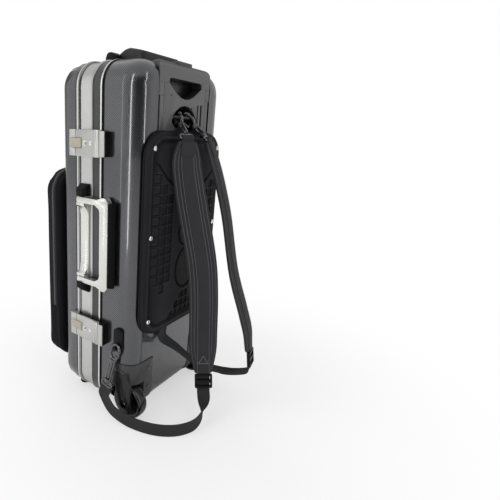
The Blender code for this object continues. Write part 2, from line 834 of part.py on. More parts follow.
def trolley_housing(body):
    """The fixed head of the trolley: a dip for the hand, two guides and an arch with a strap bar."""
    half = TROLLEY_WIDTH / 2
    inner = OPENING_WIDTH / 2
    dip = SEAM_HEIGHT - OPENING_DIP
    points = [(-half, HOUSING_BOTTOM), (-half, SEAM_HEIGHT), (-inner, SEAM_HEIGHT)]
    count = 8
    for step in range(1, count):
        share = step / count
        points.append((-inner + 2 * inner * share, SEAM_HEIGHT - (SEAM_HEIGHT - dip) * sin(pi * share)))
    points += [(inner, SEAM_HEIGHT), (half, SEAM_HEIGHT), (half, HOUSING_BOTTOM)]
    start = sqrt(ARCH_RADIUS ** 2 - (ARCH_CENTRE - HOUSING_BOTTOM) ** 2)
    angle = atan2(HOUSING_BOTTOM - ARCH_CENTRE, start)
    for step in range(13):
        turn = angle + (pi - 2 * angle) * step / 12
        points.append((ARCH_RADIUS * cos(turn), ARCH_CENTRE + ARCH_RADIUS * sin(turn)))
    made = raw_object("trolley_housing", extrude(points, "Y", TROLLEY_FRONT, TROLLEY_BACK))
    for side in (1, -1):
        combine(made, tube_solid(side, RUN_GAP, HOUSING_BOTTOM - 5, SEAM_HEIGHT + 5))
    half_bar = sqrt(ARCH_RADIUS ** 2 - (STRAP_BAR_HEIGHT - ARCH_CENTRE) ** 2) + 2.0
    combine(made, rod(STRAP_BAR_RADIUS, "X", (STRAP_BAR_Y, STRAP_BAR_HEIGHT), -half_bar, half_bar, 10),
            "UNION")
    return finish(made, body, "grey_plastic")


# Wheels


def wheel_housing(body, side, word):
    """The corner block with the wheel arch, an inner cheek and a free-standing outer cheek."""
    low, top = BODY_BOTTOM, HOUSING_TOP
    front, back = HOUSING_FRONT, BASE_BACK + 8
    radius = WHEEL_RADIUS + ARCH_GAP
    arch = []
    first = atan2(sqrt(radius ** 2 - (front - WHEEL_Y) ** 2), front - WHEEL_Y)
    for step in range(6):
        angle = first + (pi / 2 - first) * step / 5
        arch.append((WHEEL_Y + radius * cos(angle), AXLE_Z + radius * sin(angle)))
    over = arch + [(back, AXLE_Z + radius), (back, top), (front, top)]
    made = raw_object("wheel_housing_" + word,
                      extrude(over, "X", side * (SLOT_INNER - 2), side * (RAIL_HALF + 6)))
    inner = [(front, low), (back, low), (back, top), (front, top)]
    combine(made, extrude(inner, "X", side * HOUSING_INNER, side * SLOT_INNER), "UNION")
    combine(made, loft(back_profile(HOUSING_PROUD, SMALL_CORNER)), "INTERSECT")
    edge = HOUSING_INNER - 1
    corner = [(side * edge, top + 1), (side * edge, top - HOUSING_CORNER)]
    for step in range(6):
        angle = radians(180 - 90 * step / 5)
        corner.append((side * (HOUSING_INNER + HOUSING_CORNER + HOUSING_CORNER * cos(angle)),
                       top - HOUSING_CORNER + HOUSING_CORNER * sin(angle)))
    corner.append((side * (HOUSING_INNER + HOUSING_CORNER), top + 1))
    combine(made, extrude(corner, "Y", front - 5, back + 5))
    cheek = [(front + 2, CHEEK_TOP), (WHEEL_Y - 9, CHEEK_TOP), (WHEEL_Y, CHEEK_TOP - 4),
             (WHEEL_Y + 8, CHEEK_TOP - 13), (WHEEL_Y + 15, CHEEK_TOP - 31)]
    for step in range(9):
        angle = radians(25 - 215 * step / 8)
        cheek.append((WHEEL_Y + CHEEK_REACH * cos(angle), AXLE_Z + CHEEK_REACH * sin(angle)))
    cheek.append((front + 5, AXLE_Z + 34))
    combine(made, extrude(cheek, "X", side * SLOT_OUTER, side * (SHELL_X + HOUSING_PROUD)), "UNION")
    combine(made, rod(AXLE_RADIUS + GAP, "X", (WHEEL_Y, AXLE_Z), side * (SLOT_INNER - 8),
                      side * (RAIL_HALF + 8), 16))
    return finish(made, body, "grey_plastic")


def wheel_axle(body, side, word):
    """The screw that a wheel turns on, with its round head outside."""
    start = SLOT_INNER - 7
    face = SHELL_X + HOUSING_PROUD + GAP
    profile = [(0.0, start), (AXLE_RADIUS, start), (AXLE_RADIUS, face), (7.0, face),
               (6.4, face + 2.0), (0.0, face + 2.4)]
    profile = [(radius, side * along) for radius, along in profile]
    made = raw_object("wheel_axle_" + word, turned(profile, "X", (WHEEL_Y, AXLE_Z), 16))
    return finish(made, body, "gunmetal")


def wheel_hub(body, side, word, at):
    """The dark hub with its bore and dished sides."""
    low, high = WHEEL_INNER + 0.8, WHEEL_INNER + WHEEL_WIDTH - 0.8
    rim = WHEEL_RADIUS - TYRE_DEPTH - GAP
    bore = AXLE_RADIUS + GAP
    profile = [(bore, low), (bore + 7, low), (bore + 8, low + 4), (rim - 4, low + 4.5),
               (rim, low + 1.5), (rim, high - 1.5), (rim - 4, high - 4.5), (bore + 8, high - 4),
               (bore + 7, high), (bore, high)]
    profile = [(radius, side * along) for radius, along in profile]
    made = raw_object("wheel_hub_" + word, turned(profile, "X", (WHEEL_Y, AXLE_Z), WHEEL_SEGMENTS))
    return finish(made, body, "hub", at)


def wheel_tyre(body, side, word, at):
    """The solid rubber tyre."""
    low, high = WHEEL_INNER, WHEEL_INNER + WHEEL_WIDTH
    inner = WHEEL_RADIUS - TYRE_DEPTH
    profile = [(inner, low + 2), (WHEEL_RADIUS - 3.5, low), (WHEEL_RADIUS - 1.0, low + 2.5),
               (WHEEL_RADIUS, low + 7), (WHEEL_RADIUS, high - 7), (WHEEL_RADIUS - 1.0, high - 2.5),
               (WHEEL_RADIUS - 3.5, high), (inner, high - 2)]
    profile = [(radius, side * along) for radius, along in profile]
    made = raw_object("wheel_tyre_" + word, turned(profile, "X", (WHEEL_Y, AXLE_Z), WHEEL_SEGMENTS))
    return finish(made, body, "rubber", at)


# Latches


def latch_outline(points, low, high):
    """A latch part's section in plan, pushed up from one height to another."""
    return extrude(points, "Z", low, high)


def latch_catch(body, height, word):
    """The lid's half of a latch, with the pocket that the key slides in."""
    low, high = height - LATCH_HEIGHT / 2, height + LATCH_HEIGHT / 2
    top = LATCH_TOP_X
    points = [
        (RAIL_HALF + GAP, LATCH_SEAM - 0.4), (RAIL_HALF + GAP, LID_RAIL_FRONT - 1),
        (SHELL_X + GAP, LID_RAIL_FRONT - 1), (SHELL_X + GAP, LATCH_FRONT),
        (top - 2.2, LATCH_FRONT), (top, LATCH_FRONT + 2.4), (top, LATCH_SEAM - 0.4),
    ]
    made = raw_object("latch_catch_" + word, latch_outline(points, low, high))
    half = KEY_WIDTH / 2 + 0.4
    combine(made, block((KEY_BOTTOM_X - KEY_STROKE - 0.4, KEY_FRONT - 0.4, height - half),
                        (top + 5, LATCH_SEAM + 5, height + half)))
    return finish(made, body, "silver_plastic")


def latch_key(body, height, word, at):
    """The push button of a latch."""
    half = KEY_WIDTH / 2
    made = raw_object("latch_key_" + word, block(
        (KEY_BOTTOM_X, KEY_FRONT, height - half), (LATCH_TOP_X + KEY_RISE, KEY_BACK, height + half)))
    return finish(bevel(made, 0.7), body, "key_beige", at)


def barrel_points(radius, start, stop, steps):
    """Points on a circle round the lever's axis, by angle in degrees."""
    points = []
    for step in range(steps + 1):
        angle = radians(start + (stop - start) * step / steps)
        points.append((LATCH_AXIS_X + radius * cos(angle), LATCH_AXIS_Y + radius * sin(angle)))
    return points


def latch_lever(body, height, word, at):
    """The lever plate with its raised lip and the round barrel that it turns on."""
    low, high = height - LATCH_HEIGHT / 2, height + LATCH_HEIGHT / 2
    top, under = LATCH_TOP_X, LATCH_TOP_X - LATCH_PLATE
    points = [
        (under, LATCH_SEAM + 0.4), (top, LATCH_SEAM + 0.4), (top, LATCH_AXIS_Y - 10),
        (top + 1.8, LATCH_AXIS_Y - 8.6), (top + 1.8, LATCH_AXIS_Y - 5.4), (top, LATCH_AXIS_Y - 3.2),
    ]
    points += barrel_points(LATCH_BARREL, -40, 180, 8)
    points += [(under, LATCH_AXIS_Y - 5)]
    made = raw_object("latch_lever_" + word, latch_outline(points, low, high))
    half = KEY_WIDTH / 2 + 0.6
    combine(made, block((under - 5, LATCH_SEAM - 5, height - half),
                        (top + 5, KEY_BACK + 0.6, height + half)))
    return finish(made, body, "silver_plastic", at)


def latch_block(body, height, word):
    """The black seat under a lever, with the hollow that the barrel turns in."""
    low, high = height - LATCH_HEIGHT / 2, height + LATCH_HEIGHT / 2
    under = LATCH_TOP_X - LATCH_PLATE - RUN_GAP
    trim = RAIL_HALF - SHELL_INSET + TRIM_HEIGHT + GAP
    floor = SHELL_X + GAP
    cup = barrel_points(LATCH_BARREL + RUN_GAP, 205, 68, 5)
    points = [(trim, LATCH_BLOCK_FRONT), (under, LATCH_BLOCK_FRONT), (under, LATCH_AXIS_Y - 5)]
    points += [point for point in cup if point[0] > trim]
    points += [(LATCH_TOP_X + 2.4, LATCH_AXIS_Y + 6), (LATCH_TOP_X + 2.4, LATCH_BLOCK_BACK - 4),
               (LATCH_TOP_X - 1.5, LATCH_BLOCK_BACK), (floor, LATCH_BLOCK_BACK),
               (floor, TRIM_BACK + 3.6), (trim, TRIM_BACK + 1)]
    made = raw_object("latch_block_" + word, latch_outline(points, low + 1.5, high - 1.5))
    return finish(made, body, "black_plastic")


# Handles


def handle_bar(axis_u, reach, half, arm, start, stop, axis):
    """A U-shaped handle lying flat: arms from the pivots, a bar across, all in one piece."""
    inner_arm, outer_arm = arm - ARM_WIDTH / 2, arm + ARM_WIDTH / 2
    far, near = axis_u + reach + BAR_WIDTH / 2, axis_u + reach - BAR_WIDTH / 2
    one = [(axis_u - 6, inner_arm + 2), (axis_u - 6, outer_arm - 2), (axis_u - 4, outer_arm),
           (far - 26, outer_arm), (far - 12, half), (far - 5, half - 1), (far, half - 8)]
    back = [(near, inner_arm - 16), (near - 4, inner_arm - 6), (near - 14, inner_arm),
            (axis_u - 4, inner_arm)]
    points = one + [(u, -v) for u, v in reversed(one)]
    points += [(u, -v) for u, v in reversed(back)] + back
    order = {"X": lambda u, v: (u, v), "Z": lambda u, v: (v, u)}[axis]
    return extrude([order(u, v) for u, v in points], axis, start, stop)


def side_handle_bail(body):
    """The silver side handle, folded back flat over the frame."""
    start = HANDLE_AXIS_X - BAR_THICK / 2
    bm = handle_bar(HANDLE_AXIS_Y, HANDLE_REACH, HANDLE_HALF, HANDLE_ARM, start,
                    start + BAR_THICK, "X")
    bmesh.ops.translate(bm, vec=(0, 0, SIDE_HANDLE_Z), verts=bm.verts)
    made = raw_object("side_handle_bail", bm)
    for side in (1, -1):
        begin = SIDE_HANDLE_Z + side * HANDLE_ARM
        ends = sorted((begin, begin + side * (ARM_WIDTH / 2 + PIN_LENGTH)))
        combine(made, rod(PIN_RADIUS, "Z", (HANDLE_AXIS_X, HANDLE_AXIS_Y), *ends), "UNION")
    return finish(made, body, "silver_plastic")


def side_handle_rubber(body):
    """The black rubber along the far edge of the side handle's bar."""
    near = HANDLE_AXIS_Y + HANDLE_REACH + BAR_WIDTH / 2 + GAP
    half = HANDLE_HALF - 9
    low = HANDLE_AXIS_X - BAR_THICK / 2
    high = low + BAR_THICK
    points = [(low, near), (high - 1.5, near), (high - 3.5, near + RUBBER_WIDTH * 0.6),
              (low + 3, near + RUBBER_WIDTH), (low, near + RUBBER_WIDTH)]
    made = raw_object("side_handle_rubber",
                      extrude(points, "Z", SIDE_HANDLE_Z - half, SIDE_HANDLE_Z + half))
    return finish(bevel(made, 0.8), body, "rubber")


def side_handle_plate(body):
    """The silver plate on the channel, curled up at both ends inside the handle's arms."""
    rise = HANDLE_LIFT + 3.0
    inner = HANDLE_ARM - ARM_WIDTH / 2 - RUN_GAP
    base = CHANNEL_X + GAP
    one = [(base, inner), (base + rise, inner), (base + rise, inner - 5), (base + rise - 3, inner - 8),
           (base + 6, inner - 14), (base + 3.2, inner - 24)]
    points = [(x, SIDE_HANDLE_Z + z) for x, z in one]
    points += [(x, SIDE_HANDLE_Z - z) for x, z in reversed(one)]
    made = raw_object("side_handle_plate",
                      extrude(points, "Y", CHANNEL_FRONT + 3, BASE_RAIL_FRONT - 3))
    return finish(made, body, "silver_plastic")


def block_outline(lift):
    """The end block's section across the channel, from above the lid rail to the base rail."""
    return [(0.0, CHANNEL_FRONT + 1.5), (lift - 2, CHANNEL_FRONT + 1.5), (lift + 5, 9.5),
            (lift + 7.5, 13.5), (lift + 7.5, 20.5), (lift + 4, 26), (2.5, 29.5), (0.0, 29.5)]


def side_handle_block(body, side, word):
    """The black end block that holds one pin of the side handle."""
    base = CHANNEL_X + GAP
    points = [(base + x, y) for x, y in block_outline(HANDLE_LIFT)]
    ends = sorted((SIDE_HANDLE_Z + side * BLOCK_INNER, SIDE_HANDLE_Z + side * BLOCK_OUTER))
    made = raw_object("side_handle_block_" + word, extrude(points, "Z", *ends))
    tip = SIDE_HANDLE_Z + side * (HANDLE_ARM + ARM_WIDTH / 2 + PIN_LENGTH + 1)
    ends = sorted((SIDE_HANDLE_Z + side * (BLOCK_INNER - 2), tip))
    combine(made, rod(PIN_RADIUS + GAP, "Z", (HANDLE_AXIS_X, HANDLE_AXIS_Y), *ends))
    slope = [(base + HANDLE_LIFT + 8, SIDE_HANDLE_Z + side * (BLOCK_OUTER - 12)),
             (base + HANDLE_LIFT + 8, SIDE_HANDLE_Z + side * (BLOCK_OUTER + 2)),
             (base + 2, SIDE_HANDLE_Z + side * (BLOCK_OUTER + 2)),
             (base + 8, SIDE_HANDLE_Z + side * (BLOCK_OUTER - 4))]
    combine(made, extrude(slope, "Y", CHANNEL_FRONT - 2, BASE_RAIL_FRONT + 2))
    return finish(made, body, "black_plastic")


def top_handle_bail(body):
    """The black top handle, folded back flat over the top."""
    start = TOP_AXIS_Z - BAR_THICK / 2
    bm = handle_bar(HANDLE_AXIS_Y, TOP_REACH, TOP_HALF, TOP_ARM, start, start + BAR_THICK, "Z")
    bmesh.ops.translate(bm, vec=(TOP_HANDLE_X, 0, 0), verts=bm.verts)
    made = raw_object("top_handle_bail", bm)
    for side in (1, -1):
        begin = TOP_HANDLE_X + side * TOP_ARM
        ends = sorted((begin, begin + side * (ARM_WIDTH / 2 + PIN_LENGTH)))
        combine(made, rod(PIN_RADIUS, "X", (HANDLE_AXIS_Y, TOP_AXIS_Z), *ends), "UNION")
    return finish(bevel(made, 1.5), body, "rubber")


def top_handle_block(body, side, word):
    """The black end block that holds one pin of the top handle."""
    base = CHANNEL_Z + GAP
    points = [(y, base + z) for z, y in block_outline(HANDLE_LIFT)]
    ends = sorted((TOP_HANDLE_X + side * TOP_BLOCK_INNER, TOP_HANDLE_X + side * TOP_BLOCK_OUTER))
    made = raw_object("top_handle_block_" + word, extrude(points, "X", *ends))
    tip = TOP_HANDLE_X + side * (TOP_ARM + ARM_WIDTH / 2 + PIN_LENGTH + 1)
    ends = sorted((TOP_HANDLE_X + side * (TOP_BLOCK_INNER - 2), tip))
    combine(made, rod(PIN_RADIUS + GAP, "X", (HANDLE_AXIS_Y, TOP_AXIS_Z), *ends))
    return finish(made, body, "black_plastic")


# Hinges


def knuckle_points(start, stop, steps):
    """Points round the hinge axis, by angle in degrees."""
    points = []
    for step in range(steps + 1):
        angle = radians(start + (stop - start) * step / steps)
        points.append((HINGE_AXIS_X + KNUCKLE_RADIUS * cos(angle),
                       HINGE_AXIS_Y + KNUCKLE_RADIUS * sin(angle)))
    return points


def hinge_base_leaf(body, height, word):
    """The leaf on the base's channel, with two knuckles and the pin."""
    low, high = height - HINGE_LENGTH / 2, height + HINGE_LENGTH / 2
    face = -CHANNEL_X - GAP
    plate = [(face, CHANNEL_FRONT + 4), (face, BASE_RAIL_FRONT - 3),
             (face - 2.2, BASE_RAIL_FRONT - 3), (face - 2.2, CHANNEL_FRONT + 4)]
    made = raw_object("hinge_base_leaf_" + word, extrude(plate, "Z", low, high))
    arm = [(face, CHANNEL_FRONT + 9), (face - 2.0, CHANNEL_FRONT + 9)]
    arm += knuckle_points(75, 320, 9) + [(face - 0.4, HINGE_AXIS_Y + 3.5)]
    for start, stop in ((low, low + KNUCKLE_LENGTH - RUN_GAP), (high - KNUCKLE_LENGTH + RUN_GAP, high)):
        combine(made, extrude(arm, "Z", start, stop), "UNION")
    combine(made, rod(HINGE_PIN, "Z", (HINGE_AXIS_X, HINGE_AXIS_Y), low + 2, high - 2, 10), "UNION")
    return finish(made, body, "bright_metal")


def hinge_lid_leaf(body, height, word):
    """The leaf on the lid's rail, with one knuckle round the pin."""
    low, high = height - HINGE_LENGTH / 2, height + HINGE_LENGTH / 2
    face = -RAIL_HALF - GAP
    floor = -SHELL_X - GAP
    plate = [(face, LID_RAIL_BACK - 2.5), (face - 1.6, LID_RAIL_BACK - 3.4),
             (face - 1.6, LID_RAIL_FRONT - 2.6), (floor - 1.8, LID_RAIL_FRONT - 4),
             (floor - 1.8, FLANGE_FRONT + 1.5), (floor, FLANGE_FRONT + 1.5),
             (floor, LID_RAIL_FRONT - 1), (face, LID_RAIL_FRONT - 1)]
    made = raw_object("hinge_lid_leaf_" + word, extrude(plate, "Z", low, high))
    arm = [(face, LID_RAIL_BACK - 4.5), (face, LID_RAIL_BACK - 1.5)]
    arm += knuckle_points(20, 255, 9) + [(face - 1.2, LID_RAIL_BACK - 7)]
    middle = KNUCKLE_LENGTH / 2
    combine(made, extrude(arm, "Z", height - middle, height + middle), "UNION")
    combine(made, rod(HINGE_PIN + GAP, "Z", (HINGE_AXIS_X, HINGE_AXIS_Y), height - middle - 2,
                      height + middle + 2, 10))
    return finish(made, body, "bright_metal")


# Feet


def front_foot(body, side, word):
    """A rubber foot under the lid."""
    top = BODY_BOTTOM + SHELL_INSET - GAP
    x = side * FOOT_X
    profile = [(0.0, 0.0), (FOOT_RADIUS - 2, 0.0), (FOOT_RADIUS, 2.0), (FOOT_RADIUS, top), (0.0, top)]
    made = raw_object("front_foot_" + word, turned(profile, "Z", (x, FOOT_Y), 16))
    return finish(made, body, "rubber")


def side_foot(body, height, word):
    """A tall rubber foot on the hinge side of the lid."""
    start = -(SHELL_X + GAP)
    tip = -SIDE_FOOT_TIP
    profile = [(0.0, start), (FOOT_RADIUS, start), (FOOT_RADIUS, tip + 9), (FOOT_RADIUS * 0.86, tip + 4),
               (FOOT_RADIUS * 0.5, tip + 1), (0.0, tip)]
    made = raw_object("side_foot_" + word, turned(profile, "X", (FOOT_Y + 4, height), 16))
    return finish(made, body, "rubber")


# Shoulder straps

FIRST_PAD_TOP = (45, 176, STRAP_BAR_HEIGHT - 41.0)
SECOND_PAD_TOP = (-31, 173, STRAP_BAR_HEIGHT - 43.0)
FIRST_PAD_END = (16, 226, 94)
SECOND_PAD_END = (-37, 291, 147)
FIRST_DROP = (0.0, 0.09, -1.0)
SECOND_DROP = (0.02, 0.15, -1.0)
LOW_STUD = (SHELL_X + GAP + TAB_THICK + STUD_LENGTH / 2, TAB_Y, STUD_Z)
LOW_HOOK_END = (SHELL_X + 17.0, 92, 70)
LOW_SIDE = (0.0, 1.0, -0.18)
FIRST_SIDE = (-0.6, 0.8, 0.0)
SECOND_SIDE = (0.97, 0.22, 0.0)
FIRST_PAD_BOW = [(45, 177, 0.911), (42, 185, 0.812), (36, 195, 0.696), (28, 212, 0.508),
                 (22, 218, 0.346), (18, 221, 0.158)]
FIRST_PAD_WIDTHS = [(-0.85, 0.5, 0), (-0.8, 0.55, 0), (-0.7, 0.7, 0), FIRST_SIDE,
                    FIRST_SIDE, FIRST_SIDE, FIRST_SIDE, FIRST_SIDE]
FIRST_WEB_BEND = [(20, 234, 38), (36, 242, 19), (62, 244, 13.3), (88, 236, 13.3),
                  (RAIL_HALF - 24, 219, 13.3), (RAIL_HALF - 7, 194, 13.3), (RAIL_HALF + 4, 165, 14),
                  (RAIL_HALF + 11, 137, 17), (RAIL_HALF + 15, 108, 26)]
FIRST_WEB_TURN = [(-0.4, 0.5, 0.6), (0, 0.1, 1), (0, 0, 1), (0, 0, 1), (0, 0, 1), (0, 0, 1),
                  (0, 0, 1), (0, 0.1, 1), (0, 0.6, 0.8)]
SECOND_PAD_BOW = [(-35, 189, 0.898), (-39, 204, 0.777), (-40, 220, 0.636), (-40, 243, 0.382),
                  (-40, 270, 0.194), (-38, 285, 0.092)]
SECOND_PAD_WIDTHS = [SECOND_SIDE] * 8
SECOND_WEB_BEND = [(-37, 287, 97), (-37, 258, 84), (-33, 232, 80), (-8, 208, 92), (14, 190, 112),
                   (28, 168, 132), (41, 149, 147), (45, 144, 155), (45, 144, 164)]
SECOND_WEB_TURN = [SECOND_SIDE, (0.9, 0.3, 0), (0.8, 0.5, 0), (0.7, 0.6, 0), (0.8, 0.5, 0),
                   (0.9, 0.3, 0), (1, 0, 0), (1, 0, 0), (1, 0, 0)]


def along(start, direction, distance):
    """The point at a distance from another, in a direction."""
    return Vector(start) + Vector(direction).normalized() * distance


def pad_route(top, bow, end):
    """A padded strap's route: its points lie at shares of the height from its end to its top."""
    return [top] + [(x, y, end[2] + share * (top[2] - end[2])) for x, y, share in bow] + [end]


def straight_drop(pad_end, drop):
    """The straight stretch of webbing below a padded strap, which the buckle sits on."""
    return [along(pad_end, drop, END_GAP + share * SLIDER_LENGTH / 3) for share in range(5)]


def pad_taper(share):
    """The padded strap narrows at both ends."""
    ends = min(share, 1 - share)
    return 0.62 + 0.38 * min(1.0, ends / 0.14)


def strap_pad(body, word, route, widths):
    """A padded shoulder strap."""
    bm = band(route, widths, PAD_STRAP_WIDTH, PAD_STRAP_THICK, 3.0, 2, pad_taper)
    return finish(raw_object("strap_pad_" + word, bm), body, "webbing", smooth=60)


def strap_web(body, word, route, widths):
    """The webbing between a padded strap and its lower end."""
    bm = band(route, widths, WEB_WIDTH, WEB_THICK, 0, 3)
    return finish(raw_object("strap_web_" + word, bm), body, "webbing", smooth=60)


def first_web(body):
    """The webbing that runs round the wheel to the low hook."""
    pull = Vector(LOW_HOOK_END) - Vector(LOW_STUD)
    end = [along(LOW_HOOK_END, pull, distance) for distance in (20, 10, 0)]
    route = straight_drop(FIRST_PAD_END, FIRST_DROP) + FIRST_WEB_BEND + end
    widths = [FIRST_SIDE] * 5 + FIRST_WEB_TURN + [LOW_SIDE] * 3
    return strap_web(body, "first", route, widths)


def second_web(body):
    """The webbing that runs back to the lower edge of the back pad."""
    edge = (45, 144, PAD_BOTTOM - END_GAP)
    route = straight_drop(SECOND_PAD_END, SECOND_DROP) + SECOND_WEB_BEND + [edge]
    widths = [SECOND_SIDE] * 5 + SECOND_WEB_TURN + [(1, 0, 0)]
    return strap_web(body, "second", route, widths)


def strap_slider(body, word, pad_end, drop, across, face):
    """The ladder buckle that the webbing is threaded through, lying on the webbing."""
    ahead = Vector(drop).normalized()
    side = Vector(across)
    normal = ahead.cross((side - ahead * side.dot(ahead)).normalized())
    lift = normal * face * (SLIDER_THICK / 2 + WEB_THICK / 2 + GAP)
    start = along(pad_end, drop, END_GAP + 1.0) + lift
    stop = start + ahead * SLIDER_LENGTH
    half = SLIDER_WIDTH / 2
    points = [(0, -half + 2), (2, -half), (SLIDER_LENGTH - 2, -half), (SLIDER_LENGTH, -half + 2),
              (SLIDER_LENGTH, half - 2), (SLIDER_LENGTH - 2, half), (2, half), (0, half - 2)]
    made = raw_object("strap_slider_" + word, plate_between(start, stop, across, points, SLIDER_THICK))
    for low, high in ((4.5, 12), (SLIDER_LENGTH - 12, SLIDER_LENGTH - 4.5)):
        hole = [(low, -half + 4), (high, -half + 4), (high, half - 4), (low, half - 4)]
        combine(made, plate_between(start, stop, across, hole, SLIDER_THICK + 4))
    return finish(made, body, "black_plastic")


def strap_hook(body, word, held_at, hold, stop, ring_side, eye_side):
    """A snap hook hung on a round bar: an oval ring, a swivel neck and a flat eye for the strap."""
    ahead = (Vector(stop) - Vector(held_at)).normalized()
    start = Vector(held_at) - ahead * (HOOK_WIRE + hold)
    stop = Vector(stop) - ahead * END_GAP
    length = (stop - start).length
    ring = HOOK_RING_LENGTH
    made = raw_object("strap_hook_" + word, plate_between(
        start, stop, ring_side, oval(ring, HOOK_RING_WIDTH, ring / 2), HOOK_THICK))
    combine(made, plate_between(start, stop, ring_side,
                                oval(ring - 2 * HOOK_WIRE, HOOK_RING_WIDTH - 2 * HOOK_WIRE, ring / 2),
                                HOOK_THICK + 6))
    neck = [(ring - 3, -3.5), (length - HOOK_EYE_LENGTH + 2, -3.5),
            (length - HOOK_EYE_LENGTH + 2, 3.5), (ring - 3, 3.5)]
    combine(made, plate_between(start, stop, ring_side, neck, HOOK_THICK + 1.6), "UNION")
    half, near = HOOK_EYE_WIDTH / 2, length - HOOK_EYE_LENGTH
    eye = raw_object("eye", plate_between(start, stop, eye_side, [
        (near, -half), (length, -half), (length, half), (near, half)], HOOK_THICK - 1))
    combine(eye, plate_between(start, stop, eye_side, [
        (near + 3.5, 3.5 - half), (length - 3, 3.5 - half), (length - 3, half - 3.5),
        (near + 3.5, half - 3.5)], HOOK_THICK + 6))
    combine(made, eye, "UNION")
    return finish(made, body, "gunmetal")


def strap_tab(body):
    """The plastic tab low on the latch side that the first strap is clipped to."""
    base = SHELL_X + GAP
    half = TAB_WIDTH / 2
    low, high = TAB_Z - TAB_HEIGHT / 2, TAB_Z + TAB_HEIGHT / 2
    points = [(TAB_Y - half, low), (TAB_Y + half, low), (TAB_Y + half, high - 6)]
    for step in range(7):
        angle = radians(180 * step / 6)
        points.append((TAB_Y + half * cos(angle), high - 6 + 6 * sin(angle)))
    points.append((TAB_Y - half, high - 6))
    clean = [points[i] for i in range(len(points))
             if hypot(points[i][0] - points[i - 1][0], points[i][1] - points[i - 1][1]) > 0.01]
    made = raw_object("strap_tab", extrude(clean, "X", base, base + TAB_THICK))
    face = base + TAB_THICK
    combine(made, rod(STUD_RADIUS, "X", (TAB_Y, STUD_Z), base + 1, face + STUD_LENGTH + 1, 12), "UNION")
    combine(made, rod(STUD_RADIUS + 1.4, "X", (TAB_Y, STUD_Z), face + STUD_LENGTH,
                      face + STUD_LENGTH + 2, 12), "UNION")
    return finish(made, body, "black_plastic")


def build():
    """Make every piece of the case, hung from the empties of the moving groups."""
    clear_scene()
    root = add_empty("case", None, (0, 0, 0))
    lid = add_empty("lid_pivot", root, (HINGE_AXIS_X, HINGE_AXIS_Y, MIDDLE_HEIGHT))
    trolley = add_empty("trolley_slide", root, (0, TUBE_Y, SEAM_HEIGHT))
    side_pivot = add_empty("side_handle_pivot", root, (HANDLE_AXIS_X, HANDLE_AXIS_Y, SIDE_HANDLE_Z))
    top_pivot = add_empty("top_handle_pivot", root, (TOP_HANDLE_X, HANDLE_AXIS_Y, TOP_AXIS_Z))

    base_shell(root)
    base_frame(root)
    base_trim(root)
    base_lining(root)
    back_pad(root)
    trolley_housing(root)
    lid_shell(lid)
    lid_frame(lid)
    lid_lining(lid)
    pocket(lid)
    pocket_zip(lid)
    zip_puller(lid)
    trolley_grip(trolley)
    trolley_button(trolley, (0, TUBE_Y, GRIP_TOP + BUTTON_RISE))
    for side, word in ((1, "left"), (-1, "right")):
        trolley_tube_outer(root, side, word)
        trolley_tube_inner(trolley, side, word)
        wheel_housing(root, side, word)
        wheel_axle(root, side, word)
        centre = (side * WHEEL_MIDDLE, WHEEL_Y, AXLE_Z)
        wheel_hub(root, side, word, centre)
        wheel_tyre(root, side, word, centre)
        front_foot(lid, side, word)
        top_handle_block(root, side, word)
    for height, word in ((UPPER_LATCH, "upper"), (LOWER_LATCH, "lower")):
        latch_catch(lid, height, word)
        latch_block(root, height, word)
        latch_key(lid, height, word, (LATCH_TOP_X, (KEY_FRONT + KEY_BACK) / 2, height))
        latch_lever(root, height, word, (LATCH_AXIS_X, LATCH_AXIS_Y, height))
    for side, word in ((1, "upper"), (-1, "lower")):
        side_handle_block(root, side, word)
        hinge_base_leaf(root, MIDDLE_HEIGHT + side * HINGE_SPREAD, word)
        hinge_lid_leaf(lid, MIDDLE_HEIGHT + side * HINGE_SPREAD, word)
        side_foot(lid, MIDDLE_HEIGHT + side * SIDE_FOOT_SPREAD, word)
    side_handle_plate(root)
    side_handle_bail(side_pivot)
    side_handle_rubber(side_pivot)
    top_handle_bail(top_pivot)
    strap_tab(root)
    strap_pad(root, "first", pad_route(FIRST_PAD_TOP, FIRST_PAD_BOW, FIRST_PAD_END), FIRST_PAD_WIDTHS)
    strap_pad(root, "second", pad_route(SECOND_PAD_TOP, SECOND_PAD_BOW, SECOND_PAD_END),
              SECOND_PAD_WIDTHS)
    first_web(root)
    second_web(root)
    strap_slider(root, "first", FIRST_PAD_END, FIRST_DROP, FIRST_SIDE, 1)
    strap_slider(root, "second", SECOND_PAD_END, SECOND_DROP, SECOND_SIDE, -1)
    top_hold = STRAP_BAR_RADIUS + TOP_HOOK_SEAT
    strap_hook(root, "top_first", (FIRST_HOOK_X, STRAP_BAR_Y, STRAP_BAR_HEIGHT), top_hold,
               along(FIRST_PAD_TOP, (0, 0, 1), HOOK_REST), (0, 1, 1), (0.85, -0.5, 0))
    strap_hook(root, "top_second", (SECOND_HOOK_X, STRAP_BAR_Y, STRAP_BAR_HEIGHT),
               top_hold, along(SECOND_PAD_TOP, (0, 0, 1), HOOK_REST), (0, 1, 1), SECOND_SIDE)
    strap_hook(root, "low", LOW_STUD, STUD_RADIUS + LOW_HOOK_SEAT, LOW_HOOK_END, LOW_SIDE, LOW_SIDE)

    bpy.context.view_layer.update()
    low = [1e9, 1e9]
    high = [-1e9, -1e9]
    for item in bpy.data.objects:
        if item.type != "MESH":
            continue
        for vert in item.data.vertices:
            place = item.matrix_world @ vert.co
            for axis in (0, 1):
                low[axis] = min(low[axis], place[axis])
                high[axis] = max(high[axis], place[axis])
    root.location = (-(low[0] + high[0]) / 2, -(low[1] + high[1]) / 2, 0)
    bpy.context.view_layer.update()


build()
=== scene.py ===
"""Looks for a hard alto saxophone case with a trolley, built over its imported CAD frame."""

